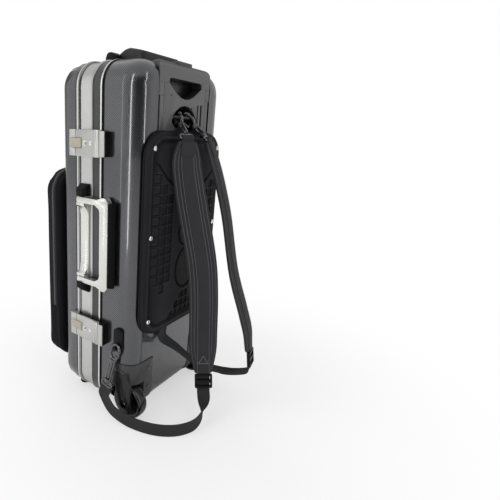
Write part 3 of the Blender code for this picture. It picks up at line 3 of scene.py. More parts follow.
import json
from math import cos, pi, radians, sin

import bmesh
import bpy
import numpy as np
from mathutils import Matrix, Vector
from mathutils.bvhtree import BVHTree

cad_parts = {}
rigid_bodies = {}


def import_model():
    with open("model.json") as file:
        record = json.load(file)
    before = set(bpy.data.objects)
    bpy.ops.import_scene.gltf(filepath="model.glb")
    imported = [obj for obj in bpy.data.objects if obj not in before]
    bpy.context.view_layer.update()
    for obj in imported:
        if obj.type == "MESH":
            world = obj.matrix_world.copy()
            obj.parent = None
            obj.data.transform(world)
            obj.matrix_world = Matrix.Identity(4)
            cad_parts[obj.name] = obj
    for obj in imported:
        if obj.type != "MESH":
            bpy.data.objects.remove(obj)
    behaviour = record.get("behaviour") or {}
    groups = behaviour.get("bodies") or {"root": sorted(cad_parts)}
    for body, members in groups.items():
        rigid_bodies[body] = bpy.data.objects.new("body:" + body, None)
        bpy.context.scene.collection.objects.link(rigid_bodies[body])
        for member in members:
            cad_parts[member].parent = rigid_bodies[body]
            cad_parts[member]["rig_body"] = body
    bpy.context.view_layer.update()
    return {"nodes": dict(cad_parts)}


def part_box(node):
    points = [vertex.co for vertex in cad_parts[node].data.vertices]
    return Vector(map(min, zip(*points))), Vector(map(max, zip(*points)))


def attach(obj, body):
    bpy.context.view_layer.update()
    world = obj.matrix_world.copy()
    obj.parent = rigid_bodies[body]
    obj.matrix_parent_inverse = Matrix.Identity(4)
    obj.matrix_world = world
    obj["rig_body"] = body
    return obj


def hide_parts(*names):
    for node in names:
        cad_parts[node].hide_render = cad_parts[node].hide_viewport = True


bl_info = {
    "name": "Alto Saxophone Case",
    "version": (1, 0, 0),
    "blender": (4, 5, 0),
    "location": "View3D > Sidebar > Case",
    "description": "Builds the cloth, metal and carbon finishes of a saxophone case and its studio",
    "category": "Object",
}

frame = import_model()

MM = 0.001
RAIL_LOW, RAIL_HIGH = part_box("lid_frame")
CASE_X = (RAIL_LOW.x + RAIL_HIGH.x) / 2
CASE_Y = RAIL_HIGH.y - 4 * MM
LID_FACE, BACK_FACE = -51.0, 138.0
RECESS_HALF, RECESS_FLOOR, RECESS_MOUTH, RECESS_FOOT = 83.5, 111.0, 137.0, 198.0
WHEEL_X, WHEEL_Y, WHEEL_Z = 112.0, 122.0, 35.0
SIDES = ((1, "left"), (-1, "right"))


def at(x, y, z):
    """A place in the case, in millimetres from the middle of its rim, as a place in the scene."""
    return Vector((CASE_X + x * MM, CASE_Y + y * MM, z * MM))


def in_case(place):
    """A place in the scene as millimetres in the case, the other way round."""
    return ((place.x - CASE_X) / MM, (place.y - CASE_Y) / MM, place.z / MM)


# Settings that a user would change


def colour(name, about, value):
    """A colour setting."""
    return bpy.props.FloatVectorProperty(name=name, description=about, default=value,
                                         subtype="COLOR", size=3, min=0.0, max=1.0)


def amount(name, about, value):
    """A plain number setting, in millimetres where it is a size."""
    return bpy.props.FloatProperty(name=name, description=about, default=value, min=0.0)


class CaseColours(bpy.types.PropertyGroup):
    """Colours of the case's materials."""

    carbon: colour("Carbon", "Carbon cloth under the clear coat", (0.050, 0.051, 0.055))
    alloy: colour("Frame alloy", "Anodised frame rails", (0.56, 0.56, 0.55))
    bright: colour("Bright trim", "Polished trim and rods", (0.70, 0.70, 0.69))
    silver: colour("Silver parts", "Latch covers and handle arms", (0.52, 0.52, 0.50))
    plastic: colour("Grey plastic", "Trolley head, grip and wheel blocks", (0.080, 0.081, 0.084))
    black: colour("Black plastic", "Blocks, sliders and feet", (0.0045, 0.0045, 0.005))
    tube: colour("Trolley tube", "Anodised tubes", (0.22, 0.22, 0.23))
    foam: colour("Moulded foam", "Back pad", (0.0055, 0.0055, 0.0065))
    cloth: colour("Pocket cloth", "Front pocket", (0.0055, 0.0055, 0.007))
    webbing: colour("Webbing", "Straps", (0.023, 0.023, 0.025))
    piping: colour("Reflective piping", "Line across the pocket", (0.42, 0.42, 0.43))
    gunmetal: colour("Hook metal", "Snap hooks and zip sliders", (0.10, 0.10, 0.105))
    key: colour("Key button", "Square push buttons", (0.43, 0.40, 0.31))
    plush: colour("Plush", "Linings", (0.030, 0.030, 0.034))


class CaseSizes(bpy.types.PropertyGroup):
    """Sizes of the fine detail."""

    tow: amount("Tow", "Width of one carbon tow, mm", 2.0)
    thread: amount("Thread", "Pitch of the pocket cloth's threads, mm", 0.9)
    rib: amount("Rib", "Pitch of the webbing's ribs, mm", 1.7)
    stitch: amount("Stitch", "Length of one stitch, mm", 3.6)
    piping: amount("Piping", "Radius of the piping round the pocket and the pad, mm", 1.7)
    slit_piping: amount("Slit piping", "Radius of the pale line across the pocket, mm", 1.15)
    groove: amount("Groove", "Depth of the back pad's grooves, mm", 3.2)


def tint(name, factor=1.0):
    """One of the colour settings, made lighter or darker."""
    return scaled(getattr(bpy.context.scene.case_colours, name), factor)


def sizes():
    """The size settings."""
    return bpy.context.scene.case_sizes


# Shader building


class Signal:
    """A socket on which ordinary arithmetic adds Math nodes."""

    def __init__(self, nodes, socket):
        self.nodes = nodes
        self.socket = socket

    def math(self, operation, *others):
        """One Math node on this and other values."""
        return self.nodes.add("ShaderNodeMath", {"operation": operation}, [self, *others])

    def reflected(self, operation, other):
        """One Math node with the other value first."""
        return self.nodes.add("ShaderNodeMath", {"operation": operation}, [other, self])

    def __add__(self, other):
        return self.math("ADD", other)

    def __sub__(self, other):
        return self.math("SUBTRACT", other)

    def __rsub__(self, other):
        return self.reflected("SUBTRACT", other)

    def __mul__(self, other):
        return self.math("MULTIPLY", other)

    def __truediv__(self, other):
        return self.math("DIVIDE", other)

    def __rtruediv__(self, other):
        return self.reflected("DIVIDE", other)

    def __mod__(self, other):
        return self.math("FLOORED_MODULO", other)

    def __gt__(self, other):
        return self.math("GREATER_THAN", other)

    def __lt__(self, other):
        return self.math("LESS_THAN", other)

    def __abs__(self):
        return self.math("ABSOLUTE")

    __radd__ = __add__
    __rmul__ = __mul__

    def floor(self):
        """The whole number below."""
        return self.math("FLOOR")

    def fract(self):
        """What is left above the whole number below."""
        return self.math("FRACT")

    def smooth(self, low, high):
        """A soft step from 0 at low to 1 at high."""
        return self.nodes.add("ShaderNodeMapRange", {"interpolation_type": "SMOOTHSTEP"},
                              {"Value": self, "From Min": low, "From Max": high})

    def between(self, low, high, soft):
        """1 between two values, with a soft step at each."""
        return self.smooth(low - soft, low + soft) * (1.0 - self.smooth(high - soft, high + soft))

    def wave(self):
        """A triangle wave from 1 at each whole number to 0 half way between two."""
        return abs(self.fract() * 2.0 - 1.0)

    def split(self):
        """The three numbers of a vector."""
        node = self.nodes.add("ShaderNodeSeparateXYZ", None, [self]).socket.node
        return [Signal(self.nodes, socket) for socket in node.outputs]


class Nodes:
    """A node tree under construction."""

    def __init__(self, tree):
        self.tree = tree

    def feed(self, socket, value):
        """Give a socket a value or a link."""
        if isinstance(value, Signal):
            self.tree.links.new(value.socket, socket)
        elif value is not None:
            socket.default_value = value

    def add(self, kind, settings=None, inputs=None, output=0):
        """Add a node: its settings first, then the values or links of its sockets."""
        node = self.tree.nodes.new(kind)
        for name, value in (settings or {}).items():
            if name == "stops":
                for place, tone in value[len(node.color_ramp.elements):]:
                    node.color_ramp.elements.new(place)
                for stop, (place, tone) in zip(node.color_ramp.elements, value):
                    stop.position = place
                    stop.color = (tone, tone, tone, 1.0)
            else:
                setattr(node, name, value)
        pairs = inputs.items() if isinstance(inputs, dict) else enumerate(inputs or [])
        for key, value in pairs:
            self.feed(node.inputs[key], value)
        return Signal(self, node.outputs[output])

    def vector(self, x, y, z):
        """A vector from three numbers."""
        return self.add("ShaderNodeCombineXYZ", None, [x, y, z])

    def choose(self, mask, first, second):
        """The first number where the mask is 0 and the second where it is 1."""
        return self.add("ShaderNodeMix", {"data_type": "FLOAT"}, {0: mask, 2: first, 3: second})

    def blend(self, mask, first, second):
        """The first colour where the mask is 0 and the second where it is 1."""
        tones = [tone if isinstance(tone, Signal) else (*tone, 1.0) for tone in (first, second)]
        return self.add("ShaderNodeMix", {"data_type": "RGBA"},
                        {0: mask, 6: tones[0], 7: tones[1]}, 2)

    def noise(self, place, scale, detail=3.0, rough=0.5):
        """Smooth noise round a half, on a place in millimetres."""
        return self.add("ShaderNodeTexNoise", None,
                        {"Vector": place, "Scale": scale, "Detail": detail, "Roughness": rough})

    def glow(self, strength):
        """A plain white light."""
        return self.add("ShaderNodeEmission", None, {"Color": (1, 1, 1, 1), "Strength": strength})


class Shade(Nodes):
    """A material under construction, with one Principled shader."""

    def __init__(self, name, tone, **settings):
        self.material = bpy.data.materials.new(name)
        self.material.use_nodes = True
        super().__init__(self.material.node_tree)
        self.shader = self.tree.nodes["Principled BSDF"]
        self.material.diffuse_color = (*tone, 1.0)
        self.set("Base Color", (*tone, 1.0))
        for socket, value in settings.items():
            self.set(socket.replace("_", " "), value)

    def set(self, socket, value):
        """Give one of the shader's sockets a value or a link."""
        self.feed(self.shader.inputs[socket], value)

    def colour(self, mask, first, second):
        """The surface's colour, the first where the mask is 0 and the second where it is 1."""
        self.set("Base Color", self.blend(mask, first, second))

    def retint(self, mask, tone):
        """Another colour where the mask is 1, over what the shader shows so far."""
        old = self.shader.inputs["Base Color"].links[0].from_socket
        self.colour(mask, Signal(self, old), tone)

    def show(self, surface):
        """Make another shader the material's surface."""
        self.feed(self.tree.nodes["Material Output"].inputs["Surface"], surface)

    def coordinates(self):
        """The place on the object, in millimetres, as a vector."""
        spot = self.add("ShaderNodeTexCoord", output="Object")
        return self.add("ShaderNodeVectorMath", {"operation": "SCALE"}, {0: spot, "Scale": 1000.0})

    def case_axes(self, place):
        """The three millimetres in the case of a place on the object."""
        x, y, z = place.split()
        return x - CASE_X / MM, y - CASE_Y / MM, z

    def strap_coordinates(self):
        """Millimetres across and along a strap, from its own map."""
        spot = self.add("ShaderNodeUVMap", {"uv_map": "strap"})
        return self.add("ShaderNodeVectorMath", {"operation": "SCALE"},
                        {0: spot, "Scale": 1000.0}).split()[:2]

    def facing(self):
        """The three numbers of the surface's direction."""
        return self.add("ShaderNodeTexCoord", output="Normal").split()

    def bump(self, height, depth):
        """Raise the surface by a height from 0 to 1 over a depth in millimetres."""
        self.set("Normal", self.add("ShaderNodeBump", None,
                                    {"Height": height, "Distance": depth * MM, "Strength": 1.0}))


def scaled(tone, factor):
    """A colour made lighter or darker."""
    return tuple(min(1.0, part * factor) for part in tone)


DIAGONAL = 0.72
MATERIALS = {}


def finish_for(name):
    """The named finish, made when it is first asked for."""
    if name not in MATERIALS:
        MATERIALS[name] = FINISHES[name]().material
    return MATERIALS[name]


def carbon(name, way, flat, bands):
    """Carbon cloth under a clear coat, wrapped round a shell from its flat face, its tones carrying
    a painted reflection of the weave.

    Plain bands lie at given depths, and in the trolley's recess the base shell is plain and painted
    near black as shade.
    """
    tone = tint("carbon")
    shade = Shade(name, tone, Coat_Roughness=0.07, Coat_IOR=1.6)
    place = shade.coordinates()
    x, depth, z = shade.case_axes(place)
    wrapped = x * way + x.math("SIGN") * (depth - flat)
    flat_top = abs(shade.facing()[2]) > DIAGONAL
    across = shade.choose(flat_top, wrapped, x) / sizes().tow
    along = shade.choose(flat_top, z, place.split()[1]) / sizes().tow
    under = ((across.floor() + along.floor()) % 2.0) > 0.5
    bulge = [1.0 - line.wave().math("POWER", 2.0) for line in (across, along)]
    height = shade.choose(under, *bulge)
    drift = shade.noise(place, 0.012, 2.0)
    grain = shade.noise(shade.vector(across * 9.0, along * 0.6, 0.0), 1.0, 2.0)
    # Painted reflection and shade of the weave: tows lying over and under take a light and a dark
    # tone, and each tow is painted lighter on its crown.
    level = shade.choose(under, 1.45, 0.45) * (0.55 + height * 0.6) * (0.8 + drift * 0.4)
    cloth = shade.blend((level * (0.85 + grain * 0.3) - 0.3).math("MINIMUM", 1.0),
                        scaled(tone, 0.2), scaled(tone, 2.3))
    masks = [(depth.between(low, high, 0.2), (grey, grey, grey * 1.03))
             for low, high, grey in bands]
    if way < 0:
        # Painted shade: the walls of the trolley's recess are painted near black.
        recess = ((abs(x) < RECESS_HALF) * (depth > RECESS_FLOOR) * (depth < RECESS_MOUTH)
                  * (z > RECESS_FOOT))
        masks.append((recess, (0.008, 0.008, 0.008)))
    plain = 0.0
    for mask, grey in masks:
        cloth = shade.blend(mask, cloth, grey)
        plain = mask + plain
    shade.set("Base Color", cloth)
    shade.set("Metallic", (1.0 - plain) * 0.92)
    shade.set("Coat Weight", 1.0 - plain * 0.85)
    shade.set("Roughness", 0.25 + shade.noise(place, 0.02) * 0.08)
    shade.bump(height * (1.0 - plain), 0.03)
    return shade


def brushed(name, tone, rough, metal=1.0, coat=0.0, scratch=0.25):
    """Metal brushed along its length."""
    shade = Shade(name, tone, Metallic=metal, Roughness=rough, Coat_Weight=coat)
    place = shade.coordinates()
    x, y, z = place.split()
    length = shade.choose(abs(shade.facing()[2]) > DIAGONAL, z, x)
    lines = shade.noise(shade.vector(y * 5.0, length * 0.05, x * 0.3), 1.0, 3.0, 0.6)
    marks = shade.noise(place, 0.03, 4.0, 0.6)
    shade.set("Roughness", rough * 0.75 + lines * rough * 0.5 + marks.smooth(0.55, 0.8) * 0.12)
    shade.colour(lines * scratch + marks * 0.15, scaled(tone, 1.06), scaled(tone, 0.78))
    shade.bump(lines, 0.02)
    return shade


def edged_rail(name, tone, low, high, dark, rough=0.26):
    """A metal rail that stays bright between two depths and is a darker band outside them: a
    painted highlight on the lid rail's edge, and painted shade at the trim's edges.
    """
    shade = Shade(name, tone, Metallic=1.0, Roughness=rough)
    place = shade.coordinates()
    bright = shade.case_axes(place)[1].between(low, high, 0.25)
    marks = shade.noise(place, 0.03, 4.0, 0.6)
    shade.colour(bright * (0.9 + marks * 0.2), scaled(tone, dark), scaled(tone, 1.05))
    shade.set("Roughness", rough + marks.smooth(0.5, 0.8) * 0.12)
    return shade


def moulded(name, tone, rough, grain=0.10, fine=1.6, wear=0.15, gloss=0.14):
    """Moulded plastic or rubber with a spark-eroded grain."""
    shade = Shade(name, tone, Roughness=rough, Specular_IOR_Level=gloss)
    place = shade.coordinates()
    pebble = shade.noise(place, fine, 3.0, 0.6)
    cloud = shade.noise(place, 0.04, 3.0, 0.55)
    shade.colour(cloud * wear * 2.0 + pebble * wear, scaled(tone, 0.88), scaled(tone, 1.5))
    shade.set("Roughness", rough - 0.08 + cloud * 0.12 + pebble * 0.08)
    shade.bump(pebble, grain)
    return shade


def trolley_plastic(name):
    """Grey moulded plastic of the trolley head, with painted shade where it lies deeper than the
    head's back face.
    """
    shade = moulded(name, tint("plastic"), 0.36, 0.04, 1.4, gloss=0.7)
    depth = shade.case_axes(shade.coordinates())[1]
    # Painted shade: surfaces deeper than the head's back face are painted darker.
    shade.retint(1.0 - depth.smooth(134.6, 136.6), tint("plastic", 0.25))
    return shade


def wheel_block_plastic(name):
    """Grey plastic of the wheel blocks, glossy black on the cheeks outside the wheels."""
    shade = moulded(name, tint("plastic", 0.5), 0.30, 0.05, 1.4, gloss=0.4)
    x, _, z = shade.case_axes(shade.coordinates())
    shade.retint(abs(x).smooth(123.5, 125.5) * (1.0 - z.smooth(99.0, 103.0)),
                 tint("plastic", 0.06))
    return shade


def woven(name, tone, pitch, depth=0.25, rough=0.92, sheen=0.02):
    """A tight plain weave on cloth that faces any way."""
    shade = Shade(name, tone, Roughness=rough, Sheen_Weight=sheen, Sheen_Roughness=0.5,
                  Specular_IOR_Level=0.1)
    place = shade.coordinates()
    x, y, z = place.split()
    facing = shade.facing()
    across = shade.choose(abs(facing[0]) > DIAGONAL, x, y) / pitch
    along = shade.choose(abs(facing[2]) > DIAGONAL, z, y) / pitch
    crossing = (across.floor() + along.floor()) % 2.0
    height = shade.choose(crossing, 1.0 - across.wave(), 1.0 - along.wave())
    fuzz = shade.noise(place, 1.1, rough=0.7)
    cloud = shade.noise(place, 0.014, rough=0.55)
    level = height * 0.35 + fuzz * 0.3 + cloud * 0.5
    shade.colour(level, scaled(tone, 0.6), scaled(tone, 1.7))
    shade.bump(height * 0.6 + fuzz * 0.4, depth)
    return shade


def plush(name):
    """Short-pile plush over foam."""
    shade = Shade(name, tint("plush"), Roughness=0.98, Sheen_Weight=0.6, Sheen_Roughness=0.35)
    place = shade.coordinates()
    pile = shade.noise(place, 2.2, rough=0.75)
    nap = shade.noise(place, 0.03, rough=0.6)
    level = pile * 0.5 + nap.smooth(0.4, 0.6) * 0.4
    shade.colour(level, tint("plush", 0.5), tint("plush", 1.9))
    shade.bump(pile, 0.5)
    return shade


def pad_foam(name):
    """Pressed foam skin with a fine fabric face, with painted shade in its carved walls and grooves
    and paler rubbed rims that are also a painted highlight.
    """
    shade = Shade(name, tint("foam"), Sheen_Weight=0.0, Specular_IOR_Level=0.12)
    place = shade.coordinates()
    x, _, z = place.split()
    pitch = 0.85
    check = ((x / pitch).floor() + (z / pitch).floor()) % 2.0
    fuzz = shade.noise(place, 1.5, rough=0.7)
    cloud = shade.noise(place, 0.02, rough=0.55)
    # The wear attribute holds painted shade in the carved walls and grooves, and rims that are both
    # rubbed and a painted highlight.
    wear = shade.add("ShaderNodeAttribute", {"attribute_name": "wear"}, output="Fac")
    shade_and_wear_tone = shade.blend(wear, tint("foam", 0.1), tint("foam", 7.0))
    shade.colour(check * 0.2 + fuzz * 0.3 + cloud * 0.4, shade_and_wear_tone, tint("foam", 1.3))
    shade.set("Roughness", 0.6 + cloud * 0.2 - wear * 0.25)
    shade.bump(check * 0.5 + fuzz * 0.5, 0.12)
    return shade


def stitch_rows(across, along, rows, length, thick=0.55):
    """A mask that is 1 on the stitches of rows at given distances from the middle line."""
    thread = (along / length).fract().between(0.16, 0.86, 0.04)
    mask = None
    for row in rows:
        line = 1.0 - abs(abs(across) - row).smooth(thick * 0.6, thick)
        mask = line if mask is None else mask.math("MAXIMUM", line)
    return mask * thread


def strap_cloth(name, rows, box_at=None):
    """Ribbed strap cloth with rows of stitching, and a sewn triangle where asked."""
    shade = Shade(name, tint("webbing"), Roughness=0.85, Sheen_Weight=0.05, Sheen_Roughness=0.45,
                  Specular_IOR_Level=0.2)
    across, along = shade.strap_coordinates()
    pitch = sizes().rib
    rib = (along / pitch).wave()
    yarn = (across / (pitch * 0.8) + (along / pitch).floor() * 0.5).wave()
    place = shade.coordinates()
    fuzz = shade.noise(place, 1.3, rough=0.7)
    cloud = shade.noise(place, 0.03, 2.0)
    level = rib * 0.25 + yarn * 0.2 + fuzz * 0.25 + cloud * 0.3
    base = shade.blend(level, tint("webbing", 0.65), tint("webbing", 1.9))
    height = rib * 0.3 + yarn * 0.3 + fuzz * 0.2
    if rows:
        mask = stitch_rows(across, along, rows, sizes().stitch)
        if box_at:
            mask = mask.math("MAXIMUM", sewn_triangle(across, along, box_at))
        base = shade.blend(mask, base, tint("webbing", 6.5))
        height = height + mask * 0.7
    shade.set("Base Color", base)
    shade.bump(height, 0.35)
    return shade


def sewn_triangle(across, along, start, tall=16.0, half=10.0):
    """The sewn triangle that holds a strap's end, from a distance along it."""
    up = along - start
    inside = (up > 0.0) * (up < tall)
    slope = 1.0 - abs(abs(across) - up * 0.6).smooth(0.35, 0.7)
    foot = (1.0 - abs(up - tall).smooth(0.35, 0.7)) * (abs(across) < half)
    return (slope * inside).math("MAXIMUM", foot)


def zip_teeth(name):
    """Zip tape with the coil down its middle."""
    tone = tint("cloth", 1.6)
    pitch = 1.6
    shade = Shade(name, tone)
    across, along = shade.strap_coordinates()
    coil = 1.0 - abs(across).smooth(1.4, 2.0)
    tooth = (along / pitch).wave()
    tape = shade.noise(shade.coordinates(), 1.5, 2.0)
    shade.colour(coil * (0.3 + tooth * 0.7) + tape * 0.15, scaled(tone, 0.8), scaled(tone, 5.5))
    shade.set("Roughness", 0.8 - coil * 0.4)
    shade.bump(coil * (0.5 + tooth * 0.5), 0.5)
    return shade


# Depth from, depth to and grey of the base shell's plain bands: a darker strip, then near-black
# bands beside the trim that are painted shade in the gaps there.
BASE_BANDS = ((30.0, 52.0, 0.030), (52.0, 54.5, 0.010), (59.0, 64.0, 0.010))
FINISHES = {
    "carbon_lid": lambda: carbon("carbon_lid", 1.0, LID_FACE, ((-8.6, -3.0, 0.012),)),
    "carbon_base": lambda: carbon("carbon_base", -1.0, BACK_FACE, BASE_BANDS),
    "alloy": lambda: brushed("frame_alloy", tint("alloy"), 0.30),
    # The lid rail's bright stripe from -3.3 to -0.2 is a painted highlight on its edge.
    "lid_rail": lambda: edged_rail("lid_rail", tint("alloy", 1.3), -3.3, -0.2, 0.42),
    # The trim stays bright only from 55.2 to 58.7; its edges are near black as painted shade in the
    # gaps beside it.
    "trim": lambda: edged_rail("back_trim", tint("bright"), 55.2, 58.7, 0.02),
    "bright": lambda: brushed("bright_trim", tint("bright"), 0.16, scratch=0.1),
    "silver": lambda: brushed("silver_cover", tint("silver"), 0.36, 0.75),
    "satin": lambda: brushed("satin_arm", tint("silver", 1.35), 0.22, 0.9),
    "trolley": lambda: trolley_plastic("trolley_plastic"),
    "wheel_block": lambda: wheel_block_plastic("wheel_block_plastic"),
    "black": lambda: moulded("black_plastic", tint("black"), 0.34, 0.04, 1.6),
    "rubber": lambda: moulded("grip_rubber", tint("black", 0.9), 0.5, 0.05, 1.0, gloss=0.06),
    "handle": lambda: moulded("handle_rubber", tint("black", 6.0), 0.45, 0.06, 1.0, gloss=0.3),
    "tyre": lambda: moulded("tyre_rubber", tint("black", 1.3), 0.2, 0.04, 1.2, gloss=0.6),
    "tube": lambda: brushed("tube_alloy", tint("tube"), 0.30),
    "foam": lambda: pad_foam("moulded_foam"),
    "cloth": lambda: woven("pocket_cloth", tint("cloth"), sizes().thread),
    "binding": lambda: woven("edge_binding", tint("cloth", 1.3), 0.6, 0.15, 0.7, 0.05),
    "piping": lambda: woven("reflective_piping", tint("piping"), 0.5, 0.08, 0.5, 0.0),
    "zip": lambda: zip_teeth("zip_tape"),
    "pad_strap": lambda: strap_cloth("pad_strap_cloth", (16.5, 23.0)),
    "pad_strip": lambda: strap_cloth("pad_strap_strip", (11.3,), 405.0),
    "web": lambda: strap_cloth("webbing", ()),
    "gunmetal": lambda: brushed("hook_metal", tint("gunmetal"), 0.16, coat=0.8, scratch=0.6),
    "key": lambda: moulded("key_button", tint("key"), 0.34, 0.02, 2.0, 0.1, 0.4),
    "plush": lambda: plush("lining_plush"),
}


# Modelling helpers


def select_only(*pieces):
    """Select these objects alone, the first one active."""
    bpy.ops.object.select_all(action="DESELECT")
    for piece in pieces:
        piece.select_set(True)
    bpy.context.view_layer.objects.active = pieces[0]


def enter(piece, start="DESELECT"):
    """Open a piece in edit mode, with nothing or everything selected."""
    select_only(piece)
    bpy.ops.object.mode_set(mode="EDIT")
    bpy.ops.mesh.select_all(action=start)


def leave():
    """Go back to object mode."""
    bpy.ops.object.mode_set(mode="OBJECT")


def pick_faces(piece, test):
    """Select the faces that pass a test on their middle and direction, from edit mode."""
    mesh = bmesh.from_edit_mesh(piece.data)
    bpy.context.tool_settings.mesh_select_mode = (False, False, True)
    for face in mesh.faces:
        face.select_set(test(face.calc_center_median(), face.normal))
    mesh.select_flush_mode()
    bmesh.update_edit_mesh(piece.data)


def round_picked(piece, test, width, segments=4):
    """Round the edges whose two ends both pass a test on their place in the case."""
    enter(piece)
    mesh = bmesh.from_edit_mesh(piece.data)
    bpy.context.tool_settings.mesh_select_mode = (False, True, False)
    for edge in mesh.edges:
        edge.select_set(all(test(*in_case(vertex.co)) for vertex in edge.verts))
    bmesh.update_edit_mesh(piece.data)
    bpy.ops.mesh.bevel(offset=width * MM, segments=segments, affect="EDGES", clamp_overlap=True)
    leave()


def combine(piece, tool, operation="DIFFERENCE"):
    """Cut a second piece out of a piece, or weld it on, and use it up."""
    apply_modifier(piece, "BOOLEAN", operation=operation, solver="EXACT", object=tool)
    bpy.data.objects.remove(tool)


def apply_modifier(piece, kind, **settings):
    """Add a modifier and apply it."""
    select_only(piece)
    step = piece.modifiers.new("step", kind)
    for name, value in settings.items():
        setattr(step, name, value)
    bpy.ops.object.modifier_apply(modifier=step.name)


def round_edges(piece, width, segments=2, angle=32):
    """Round every sharp edge by a width in millimetres."""
    if width > 0:
        apply_modifier(piece, "BEVEL", width=width * MM, segments=segments, limit_method="ANGLE",
                       angle_limit=radians(angle), use_clamp_overlap=True)


def settle(piece):
    """Put a piece's place, turn and size in its mesh."""
    select_only(piece)
    bpy.ops.object.transform_apply(location=True, rotation=True, scale=True)
    return piece


def named(name):
    """The active object, under a new name."""
    piece = bpy.context.active_object
    piece.name = name
    return piece


def primitive(add, name, **settings):
    """A new primitive from its operator, with only itself selected."""
    bpy.ops.object.select_all(action="DESELECT")
    add(**settings)
    return named(name)


def linked(name, data):
    """A new object in the scene."""
    item = bpy.data.objects.new(name, data)
    bpy.context.scene.collection.objects.link(item)
    return item


TURNS = {"X": (0, pi / 2, 0), "Y": (-pi / 2, 0, 0), "Z": (0, 0, 0)}


def round_box(name, low, high, edge, segments=2):
    """A block between two corners in the case, with rounded edges."""
    first, second = at(*low), at(*high)
    piece = primitive(bpy.ops.mesh.primitive_cube_add, name, size=1.0,
                      location=(first + second) / 2)
    piece.scale = second - first
    settle(piece)
    round_edges(piece, edge, segments)
    return piece


def disc(name, centre, axis, radius, depth, edge=0.3, dish=0.0, rim=0.8, count=32):
    """A short round part that stands on an axis, its outer face dished inwards where asked."""
    piece = primitive(bpy.ops.mesh.primitive_cylinder_add, name, vertices=count,
                      radius=radius * MM, depth=depth * MM)
    enter(piece)
    pick_faces(piece, lambda middle, normal: normal.z > 0.9)
    if dish:
        bpy.ops.mesh.inset(thickness=rim * MM)
        bpy.ops.transform.translate(value=(0, 0, -dish * MM))
    leave()
    round_edges(piece, edge)
    piece.rotation_euler = TURNS[axis]
    piece.location = at(*centre)
    return settle(piece)


def wire_ring(name, radius, wire, count, sides):
    """A round wire ring flat in XY at the origin."""
    return primitive(bpy.ops.mesh.primitive_torus_add, name, major_radius=radius * MM,
                     minor_radius=wire * MM, major_segments=count, minor_segments=sides)


def hoop(name, centre, axis, radius, wire, count, sides):
    """A round wire ring about an axis."""
    piece = wire_ring(name, radius, wire, count, sides)
    piece.rotation_euler = TURNS[axis]
    piece.location = at(*centre)
    return settle(piece)


def joined(name, parts):
    """Several parts as one piece."""
    select_only(*parts)
    if len(parts) > 1:
        bpy.ops.object.join()
    return named(name)


def paint(item, surface):
    """Give a piece, or a CAD node that keeps its shape, a finish."""
    item.data.materials.clear()
    item.data.materials.append(finish_for(surface))


def dress(piece, surface, body, slot, *nodes, smooth=38):
    """Give a piece its finish and its body, and let it stand for CAD nodes; its slot is not used.
    """
    paint(piece, surface)
    select_only(piece)
    bpy.ops.object.shade_smooth_by_angle(angle=radians(smooth))
    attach(piece, body)
    if nodes:
        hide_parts(*nodes)
    return piece


def body_of(node):
    """The body that a CAD node rides on."""
    return frame["nodes"][node]["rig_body"]


def merged_copy(node):
    """A copy of a CAD node's mesh with its loose triangles merged into faces."""
    piece = linked(node + "_finished", frame["nodes"][node].data.copy())
    enter(piece, "SELECT")
    bpy.ops.mesh.remove_doubles(threshold=0.000004)
    bpy.ops.mesh.customdata_custom_splitnormals_clear()
    bpy.ops.mesh.dissolve_limited(angle_limit=radians(0.8))
    leave()
    return piece


def smooth_node(node, surface, slot, smooth=34):
    """A CAD node's shape, its curved faces smoothly shaded and its flats left flat."""
    piece = dress(merged_copy(node), surface, body_of(node), slot, node, smooth=smooth)
    apply_modifier(piece, "WEIGHTED_NORMAL", weight=60, keep_sharp=True)
    return piece


def rounded_node(node, surface, slot, width, segments=2, angle=32):
    """A CAD node's shape with softened edges and its finish, which stands for the node."""
    piece = merged_copy(node)
    round_edges(piece, width, segments, angle)
    return dress(piece, surface, body_of(node), slot, node)


# Soft goods helpers, in millimetres in the case


def smooth_route(points, steps):
    """A smooth curve through route points, as a list of vectors."""
    route = [Vector(point) for point in points]
    route = [route[0] * 2 - route[1]] + route + [route[-1] * 2 - route[-2]]
    made = []
    for i in range(1, len(route) - 2):
        before, first, second, after = route[i - 1:i + 3]
        for step in range(steps):
            t = step / steps
            made.append(0.5 * ((2 * first) + (second - before) * t
                               + (2 * before - 5 * first + 4 * second - after) * t * t
                               + (3 * first - before - 3 * second + after) * t * t * t))
    made.append(route[-2])
    return made


def tube_faces(rings):
    """The faces along rings of point numbers, closed at both ends."""
    faces = []
    for first, second in zip(rings, rings[1:]):
        for k in range(len(first)):
            j = (k + 1) % len(first)
            faces.append((first[k], first[j], second[j], second[k]))
    return faces + [tuple(rings[0]), tuple(rings[-1])]


def sewn_mesh(name, points, faces, maps=None):
    """A mesh piece from points in the case, with a strap map where one is given."""
    mesh = bpy.data.meshes.new(name)
    mesh.from_pydata([at(*point) for point in points], [], faces)
    if maps:
        layer = mesh.uv_layers.new(name="strap")
        for loop in mesh.loops:
            layer.data[loop.index].uv = maps[loop.vertex_index]
    piece = linked(name, mesh)
    enter(piece, "SELECT")
    bpy.ops.mesh.normals_make_consistent(inside=False)
    leave()
    return piece


